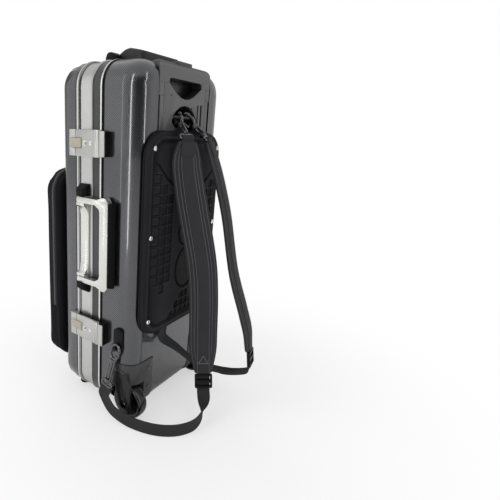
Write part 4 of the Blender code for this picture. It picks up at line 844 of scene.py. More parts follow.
def strap_piece(name, route, across, section, steps, taper=None):
    """A strap swept along a route, with a map of millimetres across and along it."""
    line = smooth_route(route, steps)
    sides = smooth_route(across, steps)
    points, maps, rings = [], [], []
    travelled = 0.0
    for i, place in enumerate(line):
        ahead = (line[min(i + 1, len(line) - 1)] - line[max(i - 1, 0)]).normalized()
        side = (sides[i] - ahead * sides[i].dot(ahead)).normalized()
        normal = ahead.cross(side)
        if i:
            travelled += (place - line[i - 1]).length
        narrow = taper(i / (len(line) - 1)) if taper else 1.0
        rings.append(range(len(points), len(points) + len(section)))
        points += [place + side * u * narrow + normal * v for u, v in section]
        maps += [(u * MM, travelled * MM) for u, v in section]
    return sewn_mesh(name, points, tube_faces(rings), maps)


def cord_piece(name, points, radius, closed):
    """A round cord through points in the case, made a mesh."""
    curve = bpy.data.curves.new(name, "CURVE")
    curve.dimensions = "3D"
    curve.bevel_depth = radius * MM
    curve.bevel_resolution = 3
    curve.use_fill_caps = True
    spline = curve.splines.new("POLY")
    spline.points.add(len(points) - 1)
    for point, place in zip(spline.points, points):
        point.co = (*at(*place), 1.0)
    spline.use_cyclic_u = closed
    select_only(linked(name, curve))
    bpy.ops.object.convert(target="MESH")
    return named(name)


def rounded_loop(half, low, high, top, bottom, steps, side_steps):
    """Points (x, z) round an upright rectangle with round corners, from low on its +X side up."""
    corners = ((half - top, high - top, top), (top - half, high - top, top),
               (bottom - half, low + bottom, bottom), (half - bottom, low + bottom, bottom))
    points = []
    last = (half, low + bottom)
    for quarter, (x, z, radius) in enumerate(corners):
        arc = [pi / 2 * (quarter + step / steps) for step in range(steps + 1)]
        arc = [(x + radius * cos(angle), z + radius * sin(angle)) for angle in arc]
        for share in np.arange(side_steps) / side_steps:
            points.append(tuple(a * (1 - share) + b * share for a, b in zip(last, arc[0])))
        points += arc[:-1]
        last = arc[-1]
    return points


def edge_distance(x, z, half, low, high, top, bottom):
    """How far points lie inside an upright rounded rectangle."""
    corner = np.where(z > (low + high) / 2, top, bottom)
    middle = (low + high) / 2
    dx = np.abs(x) - (half - corner)
    dz = np.abs(z - middle) - ((high - low) / 2 - corner)
    outside = np.hypot(np.maximum(dx, 0), np.maximum(dz, 0))
    return corner - outside - np.minimum(np.maximum(dx, dz), 0)


# Front pocket

POCKET_HALF, POCKET_LOW, POCKET_HIGH = 137.0, 61.0, 471.0
POCKET_TOP_CORNER, POCKET_LOW_CORNER = 50.0, 42.0
POCKET_BACK, POCKET_FRONT, ZIP_LINE, SLIT = -51.3, -98.3, -73.3, 324.0


def pocket_loop(out):
    """The pocket's outline pushed out by a distance, its corners never sharp."""
    top, low = max(POCKET_TOP_CORNER + out, 6.0), max(POCKET_LOW_CORNER + out, 6.0)
    return rounded_loop(POCKET_HALF + out, POCKET_LOW - out, POCKET_HIGH + out, top, low, 14, 16)


def pocket_shell():
    """The pocket's cut shape as one closed mesh, a little slack before its padding swells."""
    rows = [(POCKET_BACK, -36), (POCKET_BACK, -4), (POCKET_BACK - 3, -1.5), (POCKET_BACK - 9, -0.6),
            (ZIP_LINE + 5, -0.6), (ZIP_LINE - 5, -0.6), (POCKET_FRONT + 9, -1.2),
            (POCKET_FRONT + 5.5, -3.2), (POCKET_FRONT + 4.2, -6.5), (POCKET_FRONT + 3.4, -14),
            (POCKET_FRONT + 2.4, -28), (POCKET_FRONT + 1.6, -48), (POCKET_FRONT + 1.2, -75),
            (POCKET_FRONT + 1.0, -110)]
    points, rings = [], []
    for depth, out in rows:
        loop = pocket_loop(out)
        rings.append(range(len(points), len(points) + len(loop)))
        points += [(x, depth, z) for x, z in loop]
    return sewn_mesh("front_pocket", points, tube_faces(rings))


def places_of(mesh):
    """The places of a mesh's points, as rows of three numbers."""
    places = np.zeros(len(mesh.vertices) * 3)
    mesh.vertices.foreach_get("co", places)
    return places.reshape(-1, 3)


def move_to(mesh, places):
    """Put a mesh's points at rows of three numbers."""
    mesh.vertices.foreach_set("co", places.ravel())
    mesh.update()


SWELL_VOXEL, SWELL_FRAMES, COVER_VOXEL = 5.0, 20, 2.2


def swell(piece, pressure, cap, back):
    """Let the padding push the cloth out, held at its back and kept within a cap of its cut."""
    apply_modifier(piece, "REMESH", mode="VOXEL", voxel_size=SWELL_VOXEL * MM)
    start = places_of(piece.data)
    hold = piece.vertex_groups.new(name="held")
    wall = at(0, back, 0).y - 4 * MM
    hold.add([int(i) for i in np.nonzero(start[:, 1] > wall)[0]], 1.0, "REPLACE")
    cloth = piece.modifiers.new("padding", "CLOTH")
    cloth.settings.use_pressure = True
    cloth.settings.uniform_pressure_force = pressure
    cloth.settings.effector_weights.gravity = 0.0
    cloth.settings.vertex_group_mass = "held"
    cloth.settings.tension_stiffness = 25.0
    cloth.settings.compression_stiffness = 25.0
    for step in range(1, SWELL_FRAMES + 1):
        bpy.context.scene.frame_set(step)
    shift = places_of(piece.evaluated_get(bpy.context.evaluated_depsgraph_get()).to_mesh()) - start
    piece.modifiers.remove(cloth)
    piece.vertex_groups.clear()
    bpy.context.scene.frame_set(1)
    far = np.linalg.norm(shift, axis=1, keepdims=True)
    move_to(piece.data, start + shift * np.minimum(1.0, cap * MM / np.maximum(far, 1e-9)))


def press_front(piece):
    """Give the swollen front panel its crown, its soft folds and the step of the slip pocket."""
    places = places_of(piece.data)
    x = (places[:, 0] - CASE_X) / MM
    y = (places[:, 1] - CASE_Y) / MM
    z = places[:, 2] / MM
    inside = edge_distance(x, z, POCKET_HALF, POCKET_LOW, POCKET_HIGH, POCKET_TOP_CORNER,
                           POCKET_LOW_CORNER)
    front = np.clip((POCKET_FRONT + 16 - y) / 10, 0, 1) * np.clip((inside - 5) / 10, 0, 1)
    layer = np.clip((SLIT - z) / 2.5, 0, 1) * np.clip((inside - 7) / 5, 0, 1)
    ripple = (np.sin(x * 0.045 + 1.3 * np.sin(z * 0.021)) * np.sin(z * 0.031 + 0.7)
              + 0.5 * np.sin(x * 0.09 - z * 0.05))
    places[:, 1] += (-1.3 * layer + 0.35 * ripple * np.clip(inside / 40, 0, 1)) * front * MM
    move_to(piece.data, places)


def side_on_surface(tree, x, z, y):
    """The place on the pocket's side at one depth and the way it faces, found from outside."""
    centre = (POCKET_LOW + POCKET_HIGH) / 2
    middle = at(x * 0.4, y, centre + (z - centre) * 0.6)
    away = (at(x, y, z) - middle).normalized()
    return tree.ray_cast(middle + away * 0.5, -away)[:2]


def pocket_tree(piece):
    """A search tree over the pocket's finished surface."""
    return BVHTree.FromPolygons([v.co for v in piece.data.vertices],
                                [p.vertices for p in piece.data.polygons])


def pocket_piping(tree):
    """The cord sewn in round the front panel."""
    points = []
    for x, z in pocket_loop(-4.2):
        hit, normal = side_on_surface(tree, x, z, POCKET_FRONT + 6.5)
        points.append(in_case(hit + normal * 0.4 * MM))
    return cord_piece("pocket_piping", points, sizes().piping, True)


def slit_piping(tree):
    """The pale reflective cord along the mouth of the slip pocket."""
    points = []
    for x in np.clip(np.linspace(-131.5, 131.5, 41), -130.5, 130.5):
        hit = tree.ray_cast(at(x, -200, SLIT - 0.6), Vector((0, 1, 0)))[0]
        points.append((x, in_case(hit)[1] - 0.6, SLIT - 0.6))
    return cord_piece("slit_piping", points, sizes().slit_piping, False)


def pocket_band(name, tree, depth, width, lift):
    """A strip on the pocket's gusset, up one side, over the top and down the other."""
    loop = pocket_loop(0.0)
    foot = POCKET_LOW + (POCKET_HIGH - POCKET_LOW) * 0.25
    route = [(x, z) for x, z in loop[:len(loop) // 2 + 40] if z >= foot]
    points, maps, rings = [], [], []
    travelled = 0.0
    last = None
    for x, z in route:
        hit, normal = side_on_surface(tree, x, z, depth)
        normal.y = 0
        normal.normalize()
        travelled += (hit - last).length if rings else 0.0
        last = hit
        rings.append(range(len(points), len(points) + 4))
        for side, level in ((-1, lift), (1, lift), (1, -0.8), (-1, -0.8)):
            edge = Vector((0, side * width / 2 * MM, 0))
            points.append(in_case(hit + normal * level * MM + edge))
            maps.append((edge.y, travelled))
    return sewn_mesh(name, points, tube_faces(rings), maps)


def zip_slider(name, x, way):
    """One zip slider with its ring and pull tab."""
    top = POCKET_HIGH + 2.6
    blocks = (("_body", x, 5.5, 4.0, -0.6, 2.6, 1.0), ("_bridge", x, 3.0, 1.2, 2.0, 4.6, 0.9),
              ("_tab", x + way * 17, 11.5, 2.6, 2.6, 4.4, 0.8))
    parts = [round_box(name + word, (middle - half, ZIP_LINE - deep, top + low),
                       (middle + half, ZIP_LINE + deep, top + high), edge)
             for word, middle, half, deep, low, high, edge in blocks]
    return parts + [hoop(name + "_ring", (x + way * 4, ZIP_LINE, top + 3.4), "Y", 2.6, 0.6, 20, 8)]


class CASE_OT_pocket(bpy.types.Operator):
    """Padded front pocket with its piping, zip and slip pocket"""

    bl_idname = "case.pocket"
    bl_label = "Front pocket"

    def execute(self, context):
        pocket = pocket_shell()
        swell(pocket, pressure=4.0, cap=3.0, back=POCKET_BACK)
        apply_modifier(pocket, "SUBSURF", levels=1, render_levels=1)
        press_front(pocket)
        dress(pocket, "cloth", "lid", "pocket_cloth", "pocket", smooth=80)
        tree = pocket_tree(pocket)
        dress(pocket_piping(tree), "binding", "lid", "pocket_cloth", smooth=80)
        dress(slit_piping(tree), "piping", "lid", "pocket_cloth", smooth=80)
        dress(pocket_band("zip_strip", tree, ZIP_LINE, 9.0, 1.2), "zip", "lid", "zip", "pocket_zip")
        for word, depth in (("front", ZIP_LINE - 8.0), ("back", ZIP_LINE + 8.0)):
            flap = pocket_band("zip_flap_" + word, tree, depth, 5.0, 1.5)
            dress(flap, "binding", "lid", "pocket_cloth")
        parts = zip_slider("slider_left", 49.0, -1) + zip_slider("slider_right", 63.0, 1)
        dress(joined("zip_sliders", parts), "gunmetal", "lid", "zip", "zip_puller")
        return {"FINISHED"}


# Back pad

PAD_HALF, PAD_LOW, PAD_HIGH, PAD_ROUND = 118.0, 173.0, 546.0, 46.0
PAD_BASE = BACK_FACE + 0.3
RIVETS = ((103.0, 518.0), (105.5, 366.0), (103.0, 207.0))
PAD_PROFILE = ((0.0, 6.0), (0.6, 9.4), (2.0, 11.6), (4.5, 12.9), (8.0, 13.2), (12.2, 12.8),
               (14.0, 11.4), (15.6, 10.4), (18.0, 10.4), (19.8, 12.0), (23.0, 15.6), (28.0, 17.7),
               (36.0, 18.7), (50.0, 19.0), (200.0, 19.0))


def groove_at(distance, half):
    """How deep a groove is at a distance from its middle line, from 0 to 1."""
    return np.clip(1.0 - (distance / half) ** 2, 0.0, 1.0) ** 0.7


def square_reach(x, z):
    """How far places lie from each sunken square's middle, and its half size, on both halves."""
    places = [(94.5, 468 - 18.5 * row, 7.0) for row in range(11)]
    places += [(76.0, 449.5 - 18.5 * row, 7.0) for row in range(11)]
    places += [(57.5, 431 - 18.5 * row, 7.0) for row in range(9)]
    foot = ((8.0, 236), (8.0, 219), (25.0, 219), (8.0, 202), (25.0, 202), (42.0, 202))
    for cx, cz, size in places + [(cx, cz, 6.2) for cx, cz in foot]:
        yield np.maximum(np.abs(np.abs(x) - cx), np.abs(z - cz)), size


def square_rings(x, z):
    """The sunken squares at the pad's sides and in its foot."""
    found = np.zeros_like(x)
    for reach, size in square_reach(x, z):
        found = np.maximum(found, np.clip((size + 0.8 - reach) / 1.6, 0.0, 1.0))
    return found


def round_grooves(x, z):
    """The rings down the middle of the pad."""
    found = np.zeros_like(x)
    for cz, wide, high in ((436, 38, 40), (364, 27, 27), (291, 32, 40)):
        ring = np.hypot(x / wide, (z - cz) / high)
        found = np.maximum(found, groove_at(np.abs(ring - 1.0) * min(wide, high), 2.4))
    return found


def yoke_groove(x, z):
    """The line that sweeps from each upper corner in to the middle."""
    reach = np.abs(x)
    line = 452 + 54 * np.clip((reach - 40) / 66, 0, 1.2) ** 1.6
    return groove_at(np.abs(z - line) * 0.8, 2.4) * (reach > 36) * (reach < 104)


def pad_inside(x, z):
    """How far places lie inside the pad's outline."""
    return edge_distance(x, z, PAD_HALF, PAD_LOW, PAD_HIGH, PAD_ROUND, PAD_ROUND)


def pad_height(x, z):
    """How far the pad stands off its back at places on its face."""
    inside = pad_inside(x, z)
    level = np.interp(inside, *zip(*PAD_PROFILE))
    seam = groove_at(np.abs(inside - 6.5), 0.9) * 0.8
    carved = np.maximum(np.maximum(square_rings(x, z), round_grooves(x, z)), yoke_groove(x, z))
    return level - seam - carved * sizes().groove * np.clip((inside - 19) / 4, 0, 1)


def pad_wear_and_shade(x, z):
    """From 0, painted shade in the carved walls, grooves and channel, to 1, rubbed rims that also
    carry a painted highlight.
    """
    inside = pad_inside(x, z)
    near = np.full_like(x, 99.0)
    for reach, size in square_reach(x, z):
        near = np.minimum(near, np.abs(reach - size - 0.4))
    walls = np.clip(1.0 - near / 1.5, 0, 1)
    rings = np.maximum(round_grooves(x, z), yoke_groove(x, z))
    # Painted shade in the square walls, the rings, the yoke and the channel inside the rim.
    dark = np.maximum(np.maximum(walls, rings), groove_at(np.abs(inside - 17.0), 3.0) * 0.8)
    # Paler rims at the squares' edges and on the pad's crest: rubbing and a painted highlight.
    rim = np.clip(1.0 - np.abs(near - 2.3) / 0.9, 0, 1)
    rim = rim + np.clip(1.0 - np.abs(inside - 9.5) / 3.5, 0, 1) * 0.7
    return 0.4 - 0.4 * dark + 0.6 * np.clip(rim, 0, 1) * (1 - dark)


def pad_rows():
    """The pad's face as rows of points, each row as wide as the outline is there."""
    tall, wide = 300, 190
    half_high = (PAD_HIGH - PAD_LOW) / 2
    middle = (PAD_HIGH + PAD_LOW) / 2
    share = np.linspace(-1, 1, tall)
    z = middle + half_high * np.sign(share) * (1 - (1 - np.abs(share)) ** 1.12)
    into = np.clip(np.abs(z - middle) - (half_high - PAD_ROUND), 0, PAD_ROUND)
    half = PAD_HALF - PAD_ROUND + np.sqrt(PAD_ROUND ** 2 - into ** 2)
    across = np.linspace(-1, 1, wide)
    across = np.sign(across) * (1 - (1 - np.abs(across)) ** 1.08)
    return np.outer(half, across), np.repeat(z[:, None], wide, axis=1)


def pad_shell():
    """The moulded pad with its rim, its channel and its carved face."""
    x, z = pad_rows()
    height = pad_height(x, z)
    tall, wide = x.shape
    points = [(x[i, j], PAD_BASE + height[i, j], z[i, j]) for i in range(tall) for j in range(wide)]
    faces = [(i * wide + j, i * wide + j + 1, (i + 1) * wide + j + 1, (i + 1) * wide + j)
             for i in range(tall - 1) for j in range(wide - 1)]
    rim = list(range(wide)) + [i * wide + wide - 1 for i in range(1, tall)]
    rim += [(tall - 1) * wide + j for j in range(wide - 2, -1, -1)]
    rim += [i * wide for i in range(tall - 2, 0, -1)]
    start = len(points)
    points += [(points[i][0], PAD_BASE, points[i][2]) for i in rim]
    count = len(rim)
    for k in range(count):
        j = (k + 1) % count
        faces.append((rim[k], start + k, start + j, rim[j]))
    faces.append(tuple(start + k for k in range(count)))
    pad = sewn_mesh("back_pad_moulded", points, faces)
    # The wear attribute carries painted shade and painted highlight as well as wear.
    wear = pad.data.attributes.new("wear", "FLOAT", "POINT")
    wear.data.foreach_set("value", np.concatenate([pad_wear_and_shade(x, z).ravel(), np.zeros(count)]))
    return pad


def rivet(x, z):
    """A domed rivet through the pad's rim."""
    level = PAD_BASE + float(pad_height(np.array([x]), np.array([z]))[0])
    return disc("rivet", (x, level + 1.0, z), "Y", 4.6, 2.6, 1.1, count=28)


class CASE_OT_back_pad(bpy.types.Operator):
    """Moulded foam back pad with its carved pattern, binding and rivets"""

    bl_idname = "case.back_pad"
    bl_label = "Back pad"

    def execute(self, context):
        pad = pad_shell()
        dress(pad, "foam", "case", "foam", "back_pad", smooth=50)
        loop = rounded_loop(PAD_HALF - 0.2, PAD_LOW + 0.2, PAD_HIGH - 0.2, PAD_ROUND, PAD_ROUND,
                            20, 24)
        points = [(x, BACK_FACE + 3.2, z) for x, z in loop]
        binding = cord_piece("back_pad_binding", points, sizes().piping, True)
        dress(binding, "binding", "case", "foam", smooth=80)
        parts = [rivet(side * x, height) for side in (-1, 1) for x, height in RIVETS]
        dress(joined("back_pad_rivets", parts), "bright", "case", "bright_metal", smooth=50)
        return {"FINISHED"}


# Shoulder straps

FIRST_TOP, FIRST_END = (45, 176, 531), (16, 226, 94)
SECOND_TOP, SECOND_END = (-31, 173, 529), (-37, 291, 147)
FIRST_DROP, SECOND_DROP = (0.0, 0.09, -1.0), (0.02, 0.15, -1.0)
FIRST_SIDE, SECOND_SIDE = (-0.6, 0.8, 0.0), (0.97, 0.22, 0.0)
FIRST_BOW = [(45, 177, 0.911), (42, 185, 0.812), (36, 195, 0.696), (28, 212, 0.508),
             (22, 218, 0.346), (18, 221, 0.158)]
SECOND_BOW = [(-35, 189, 0.898), (-39, 204, 0.777), (-40, 220, 0.636), (-40, 243, 0.382),
              (-40, 270, 0.194), (-38, 285, 0.092)]
FIRST_PAD_ACROSS = [(-0.85, 0.5, 0), (-0.8, 0.55, 0), (-0.7, 0.7, 0)] + [FIRST_SIDE] * 5
FIRST_BEND = [(20, 234, 38), (36, 242, 19), (62, 244, 13.3), (88, 236, 13.3), (110, 219, 13.3),
              (127, 194, 13.3), (138, 165, 14), (145, 137, 17), (149, 108, 26)]
FIRST_TURN = [(-0.4, 0.5, 0.6), (0, 0.1, 1)] + [(0, 0, 1)] * 5 + [(0, 0.1, 1), (0, 0.6, 0.8)]
SECOND_BEND = [(-37, 287, 97), (-37, 258, 84), (-33, 232, 80), (-8, 208, 92), (14, 190, 112),
               (28, 168, 132), (41, 149, 147), (45, 144, 155), (45, 144, 164), (45, 144, 172.5)]
SECOND_TURN = [SECOND_SIDE, (0.9, 0.3, 0), (0.8, 0.5, 0), (0.7, 0.6, 0), (0.8, 0.5, 0),
               (0.9, 0.3, 0)] + [(1, 0, 0)] * 4
STUD_AT = (139.9, 107.0, 153.0)
LOW_END = (149.0, 92.0, 70.0)
LOW_SIDE = (0.0, 1.0, -0.18)
SLIDER = 30.0
PAD_STEPS, WEB_STEPS, WEB_WIDTH, WEB_THICK = 9, 8, 25.0, 2.0
# The bar that the upper hooks hold, and how far the hooks' middles are from it and the eyes
BAR_Y, BAR_Z, BAR_HOLD, STUD_HOLD, RING_HOLD, EYE_RISE = 131.5, 572, 4.5, 3.6, 4.5, 3.7


def along(start, direction, distance):
    """The point at a distance from another, in a direction."""
    return Vector(start) + Vector(direction).normalized() * distance


def pad_route(top, bow, end):
    """A padded strap's route, its points at shares of the height from its end to its top."""
    return [top] + [(x, y, end[2] + share * (top[2] - end[2])) for x, y, share in bow] + [end]


def straight_drop(end, drop):
    """The straight stretch of webbing below a padded strap."""
    return [along(end, drop, 0.5 + share * SLIDER / 3) for share in range(5)]


def pad_taper(share):
    """The padded strap narrows at both ends."""
    ends = min(share, 1 - share)
    return 0.62 + 0.38 * min(1.0, sin(min(1.0, ends / 0.14) * pi / 2))


def facing_out(section, outer):
    """A strap's section, turned over where its outer face is the other one."""
    return section if outer > 0 else [(u, -v) for u, v in section]


def pad_section(outer):
    """Across the padded strap: bound edges, sewn channels and soft fields."""
    edge = [(-27.0, 0.0), (-26.7, 1.6), (-25.6, 2.4), (-24.0, 2.5), (-23.0, 2.2), (-21.8, 3.2),
            (-19.6, 4.1), (-17.6, 3.9), (-16.6, 3.3), (-15.4, 3.7), (-13.0, 3.9)]
    near = edge + [(-6.5, 4.1), (0.0, 4.2), (6.5, 4.1)] + [(-u, v) for u, v in reversed(edge)]
    return facing_out(near + [(-u, -v) for u, v in near[1:-1]], outer)


def strip_section(outer, half, low, high):
    """Across a flat strip that lies on one face of a strap."""
    section = [(-half, low), (-half, high - 0.35), (-half + 0.4, high), (-half / 2, high + 0.15),
               (0.0, high + 0.2), (half / 2, high + 0.15), (half - 0.4, high), (half, high - 0.35),
               (half, low), (0.0, low)]
    return facing_out(section, outer)


def web_section(width, thick):
    """Across plain webbing, with its thicker woven edges."""
    half, deep = width / 2, thick / 2
    near = [(-half, 0.0), (-half + 0.25, deep), (-half + 1.6, deep), (-half + 2.2, deep - 0.25)]
    near += [(0.0, deep - 0.2)] + [(-u, v) for u, v in reversed(near[1:])] + [(half, 0.0)]
    return near + [(-u, -v) for u, v in near[1:-1]]


def snap_hook(name, node, held_at, hold, stop, ring_side, eye_side):
    """A snap hook: a round wire ring with its gate, a turned neck and a flat eye."""
    ahead = (Vector(stop) - Vector(held_at)).normalized()
    start = Vector(held_at) - ahead * (RING_HOLD + hold)
    length = (Vector(stop) - ahead * 0.5 - start).length
    parts = [hook_ring(name), hook_neck(name, length)]
    turn_to(parts, start, ahead, ring_side)
    eye = hook_eye(name, length)
    turn_to([eye], start, ahead, eye_side)
    return dress(joined(name, parts + [eye]), "gunmetal", "case", "gunmetal", node, smooth=50)


def turn_to(parts, start, ahead, side):
    """Lay parts that were made along +X, flat in XY, on a line in the case."""
    across = Vector(side)
    across = (across - ahead * across.dot(ahead)).normalized()
    normal = ahead.cross(across)
    turn = Matrix((ahead, across, normal)).transposed().to_4x4()
    shift = Matrix.Translation(at(*start))
    for part in parts:
        part.data.transform(shift @ turn)


def hook_rod(name, low, high, radius, edge, across=0.0, count=20, segments=2):
    """A round part of a hook, lying along +X between two distances."""
    rod = primitive(bpy.ops.mesh.primitive_cylinder_add, name, vertices=count,
                    radius=radius * MM, depth=(high - low) * MM,
                    location=((low + high) / 2 * MM, across * MM, 0), rotation=TURNS["X"])
    round_edges(settle(rod), edge, segments)
    return rod


def hook_loop(name, middle, radius, wire, count, sides, pulls):
    """A wire ring flat in XY, each half of it in pulls moved out to make it oval."""
    loop = wire_ring(name, radius, wire, count, sides)
    enter(loop)
    for pull in pulls:
        way = Vector(pull).normalized()
        pick_faces(loop, lambda centre, normal, way=way: centre.dot(way) > 0.0001)
        bpy.ops.transform.translate(value=Vector(pull) * MM)
    leave()
    loop.location = (middle * MM, 0, 0)
    return settle(loop)


def hook_ring(name):
    """The oval wire ring with the two collars of its gate, along +X from the origin."""
    return joined(name + "_ring", [
        hook_loop(name + "_ring", 11.0, 9.0, 3.1, 32, 10, [(11, 0, 0)]),
        hook_rod(name + "_collar", 10.5, 13.5, 4.1, 0.5, 9.0, 16),
        hook_rod(name + "_collar", 20.5, 23.5, 3.9, 0.5, 9.0, 16)])


def hook_neck(name, length):
    """The turned swivel between the ring and the eye, with two side rods where it is long."""
    parts = [hook_rod(name + "_neck", 31.5, 36.5, 5.4, 0.7),
             hook_rod(name + "_neck", 36.5, 40.5, 4.0, 0.7),
             hook_rod(name + "_neck", length - 17.25, length - 10.75, 5.6, 0.7)]
    if length > 60:
        parts += [hook_rod(name + "_rod", 24.0, length - 12.0, 2.2, 0.8, side * 5.2, 14, 3)
                  for side in (-1, 1)]
    pin = hook_rod(name + "_pin", 33.0, length - 7.0, 3.2, 0.3, count=16)
    return joined(name + "_neck", parts + [pin])


def hook_eye(name, length):
    """The flat rounded eye that the strap's end loops through."""
    return hook_loop(name + "_eye", length - 6.3, 5.0, 2.4, 28, 8, [(0, -7.2, 0), (0, 7.2, 0)])


class CASE_OT_straps(bpy.types.Operator):
    """Padded shoulder straps, their webbing, sliders and snap hooks"""

    bl_idname = "case.straps"
    bl_label = "Shoulder straps"

    def execute(self, context):
        self.padded_strap("first", FIRST_TOP, FIRST_BOW, FIRST_END, FIRST_PAD_ACROSS, 1)
        self.padded_strap("second", SECOND_TOP, SECOND_BOW, SECOND_END, [SECOND_SIDE] * 8, -1)
        pull = Vector(LOW_END) - Vector(STUD_AT)
        tail = [along(LOW_END, pull, distance) for distance in (20, 10, 0)]
        self.web("first", straight_drop(FIRST_END, FIRST_DROP) + FIRST_BEND + tail,
                 [FIRST_SIDE] * 5 + FIRST_TURN + [LOW_SIDE] * 3)
        self.web("second", straight_drop(SECOND_END, SECOND_DROP) + SECOND_BEND,
                 [SECOND_SIDE] * 5 + SECOND_TURN)
        for word in ("first", "second"):
            rounded_node("strap_slider_" + word, "black", "black_plastic", 0.9, 3)
        for word, x, top, eye_side in (("first", 20, FIRST_TOP, (0.85, -0.5, 0)),
                                       ("second", -6, SECOND_TOP, SECOND_SIDE)):
            snap_hook("hook_" + word, "strap_hook_top_" + word, (x, BAR_Y, BAR_Z), BAR_HOLD,
                      along(top, (0, 0, 1), EYE_RISE), (0, 1, 1), eye_side)
        snap_hook("hook_low", "strap_hook_low", STUD_AT, STUD_HOLD, LOW_END, LOW_SIDE, LOW_SIDE)
        return {"FINISHED"}

    def padded_strap(self, word, top, bow, end, across, outer):
        """One padded strap, with the strip of webbing sewn down its outer face."""
        route = pad_route(top, bow, end)
        pad = strap_piece("padded_strap_" + word, route, across, pad_section(outer), PAD_STEPS,
                          pad_taper)
        dress(pad, "pad_strap", "case", "webbing", "strap_pad_" + word, smooth=60)
        strip = strap_piece("strap_strip_" + word, route, across,
                            strip_section(outer, WEB_WIDTH / 2, 3.6, 5.2), PAD_STEPS)
        dress(strip, "pad_strip", "case", "webbing", smooth=50)
        fold = strap_piece("strap_fold_" + word, route[:2], across[:2],
                           strip_section(outer, 13.2, -5.4, 6.6), 14)
        shorten(fold, top, 24.0)
        dress(fold, "pad_strap", "case", "webbing", smooth=50)
        loop_route = [along(top, (0, 0, 1), rise) for rise in (10.5, 5.0, -3.0)]
        loop = strap_piece("strap_loop_" + word, loop_route, [across[0]] * 3,
                           strip_section(outer, 10.5, -3.0, 3.4), 5)
        dress(loop, "web", "case", "webbing", smooth=50)

    def web(self, word, route, across):
        """One run of webbing."""
        section = web_section(WEB_WIDTH, WEB_THICK)
        piece = strap_piece("webbing_" + word, route, across, section, WEB_STEPS)
        dress(piece, "web", "case", "webbing", "strap_web_" + word, smooth=50)


def shorten(piece, top, reach):
    """Cut a short strap piece off at a distance below its top, and close the cut."""
    enter(piece, "SELECT")
    bpy.ops.mesh.bisect(plane_co=at(top[0], top[1], top[2] - reach), plane_no=(0, 0, 1),
                        clear_inner=True, use_fill=True)
    leave()


# Hardware

LATCHES, LATCH_FACE = ((521.0, "upper"), (168.0, "lower")), 143.2
RIBS, RIB_FROM, RIB_TO, HUB_FACE = 8, 9.5, 23.5, 10.6
GRIP_LOW, GRIP_HIGH, HEAD_HALF, OPENING_HALF = 625.3, 661.0, 80.0, 52.0
HEAD_FRONT, HEAD_BACK, HEAD_SKIN = 114.0, 137.5, 140.0


def latch_details(height, word):
    """The keyhole, the bare round place and the small rivet on a latch lever."""
    face = LATCH_FACE
    parts = [disc("eye", (face + 0.2, 28.0, height), "X", 4.6, 1.0, 0.25, 0.5, 1.0),
             disc("dot", (face + 0.2, 42.0, height), "X", 4.2, 0.9, 0.25, 0.35, 0.6),
             disc("pip", (face + 0.15, 6.5, height + 16.0), "X", 1.1, 0.8, 0.25, 0.0, 0.3, 16)]
    body = body_of("latch_lever_" + word)
    dress(joined("latch_rings_" + word, parts), "bright", body, "silver_parts")
    # A black slab stands for the keyhole: painted shade in place of its hollow.
    slot = round_box("latch_keyhole_" + word, (face + 0.1, 27.1, height - 2.6),
                     (face + 0.72, 28.9, height + 1.2), 0.2)
    dress(slot, "black", body, "black_plastic")


def wheel_spokes(side, word):
    """Raised ribs round a wheel's outer and inner face."""
    parts = []
    for face in (-1, 1):
        x = side * WHEEL_X + face * HUB_FACE
        centre = at(x, WHEEL_Y, WHEEL_Z)
        for step in range(RIBS):
            rib = round_box("rib", (x - 1.2, WHEEL_Y - 1.6, WHEEL_Z + RIB_FROM),
                            (x + 1.2, WHEEL_Y + 1.6, WHEEL_Z + RIB_TO), 0.5)
            turn = Matrix.Rotation(2 * pi * step / RIBS, 4, "X")
            rib.data.transform(Matrix.Translation(centre) @ turn @ Matrix.Translation(-centre))
            parts.append(rib)
        parts.append(hoop("hub_ring", (x, WHEEL_Y, WHEEL_Z), "X", 9.0, 1.3, 28, 8))
    return dress(joined("wheel_ribs_" + word, parts), "black", "wheel_" + word, "black_plastic")


def trolley_grip():
    """The rounded bar of the grip with its two legs."""
    grip = round_box("trolley_grip_bar", (-HEAD_HALF, HEAD_FRONT, GRIP_LOW),
                     (HEAD_HALF, HEAD_BACK, GRIP_HIGH), 0)
    round_picked(grip, lambda x, y, z: z > GRIP_HIGH - 6 and abs(x) > HEAD_HALF - 1, 21.0, 7)
    combine(grip, round_box("tool", (-OPENING_HALF, HEAD_FRONT - 9, GRIP_LOW - 20),
                            (OPENING_HALF, HEAD_BACK + 9, GRIP_LOW + 9), 6.0, 4))
    round_picked(grip, lambda x, y, z: z > GRIP_LOW + 0.1 and
                 not HEAD_FRONT + 0.1 <= y <= HEAD_BACK - 0.1, 7.0, 5)
    return dress(grip, "trolley", "trolley", "grey_plastic", "trolley_grip", smooth=40)


# From x to x, how deep, and from height to height
HEAD_CUTS = ((-82.0, -77.0, 130.0, 530.0, 604.0), (-66.9, -66.0, 136.2, 530.0, 628.0),
             (77.0, 82.0, 130.0, 530.0, 604.0), (66.0, 66.9, 136.2, 530.0, 628.0),
             (-45.0, -40.0, 133.0, 556.0, 596.0), (-57.5, -51.0, 133.0, 552.0, 596.0),
             (-76.9, -66.0, 136.6, 604.0, 605.0), (66.0, 76.9, 136.6, 604.0, 605.0))


def trolley_head():
    """The fixed head with its grooves beside the legs, its slots, its step and its screw holes."""
    head = merged_copy("trolley_housing")
    for x_low, x_high, depth, low, high in HEAD_CUTS:
        combine(head, round_box("tool", (x_low, depth, low), (x_high, HEAD_SKIN, high), 0))
    for x, height, radius, count in ((-21.0, 588.0, 2.6, 20), (46.0, 606.0, 1.6, 16)):
        combine(head, disc("tool", (x, HEAD_BACK, height), "Y", radius, 4.0, 0, count=count))
    round_edges(head, 0.5)
    return dress(head, "trolley", "case", "grey_plastic", "trolley_housing")


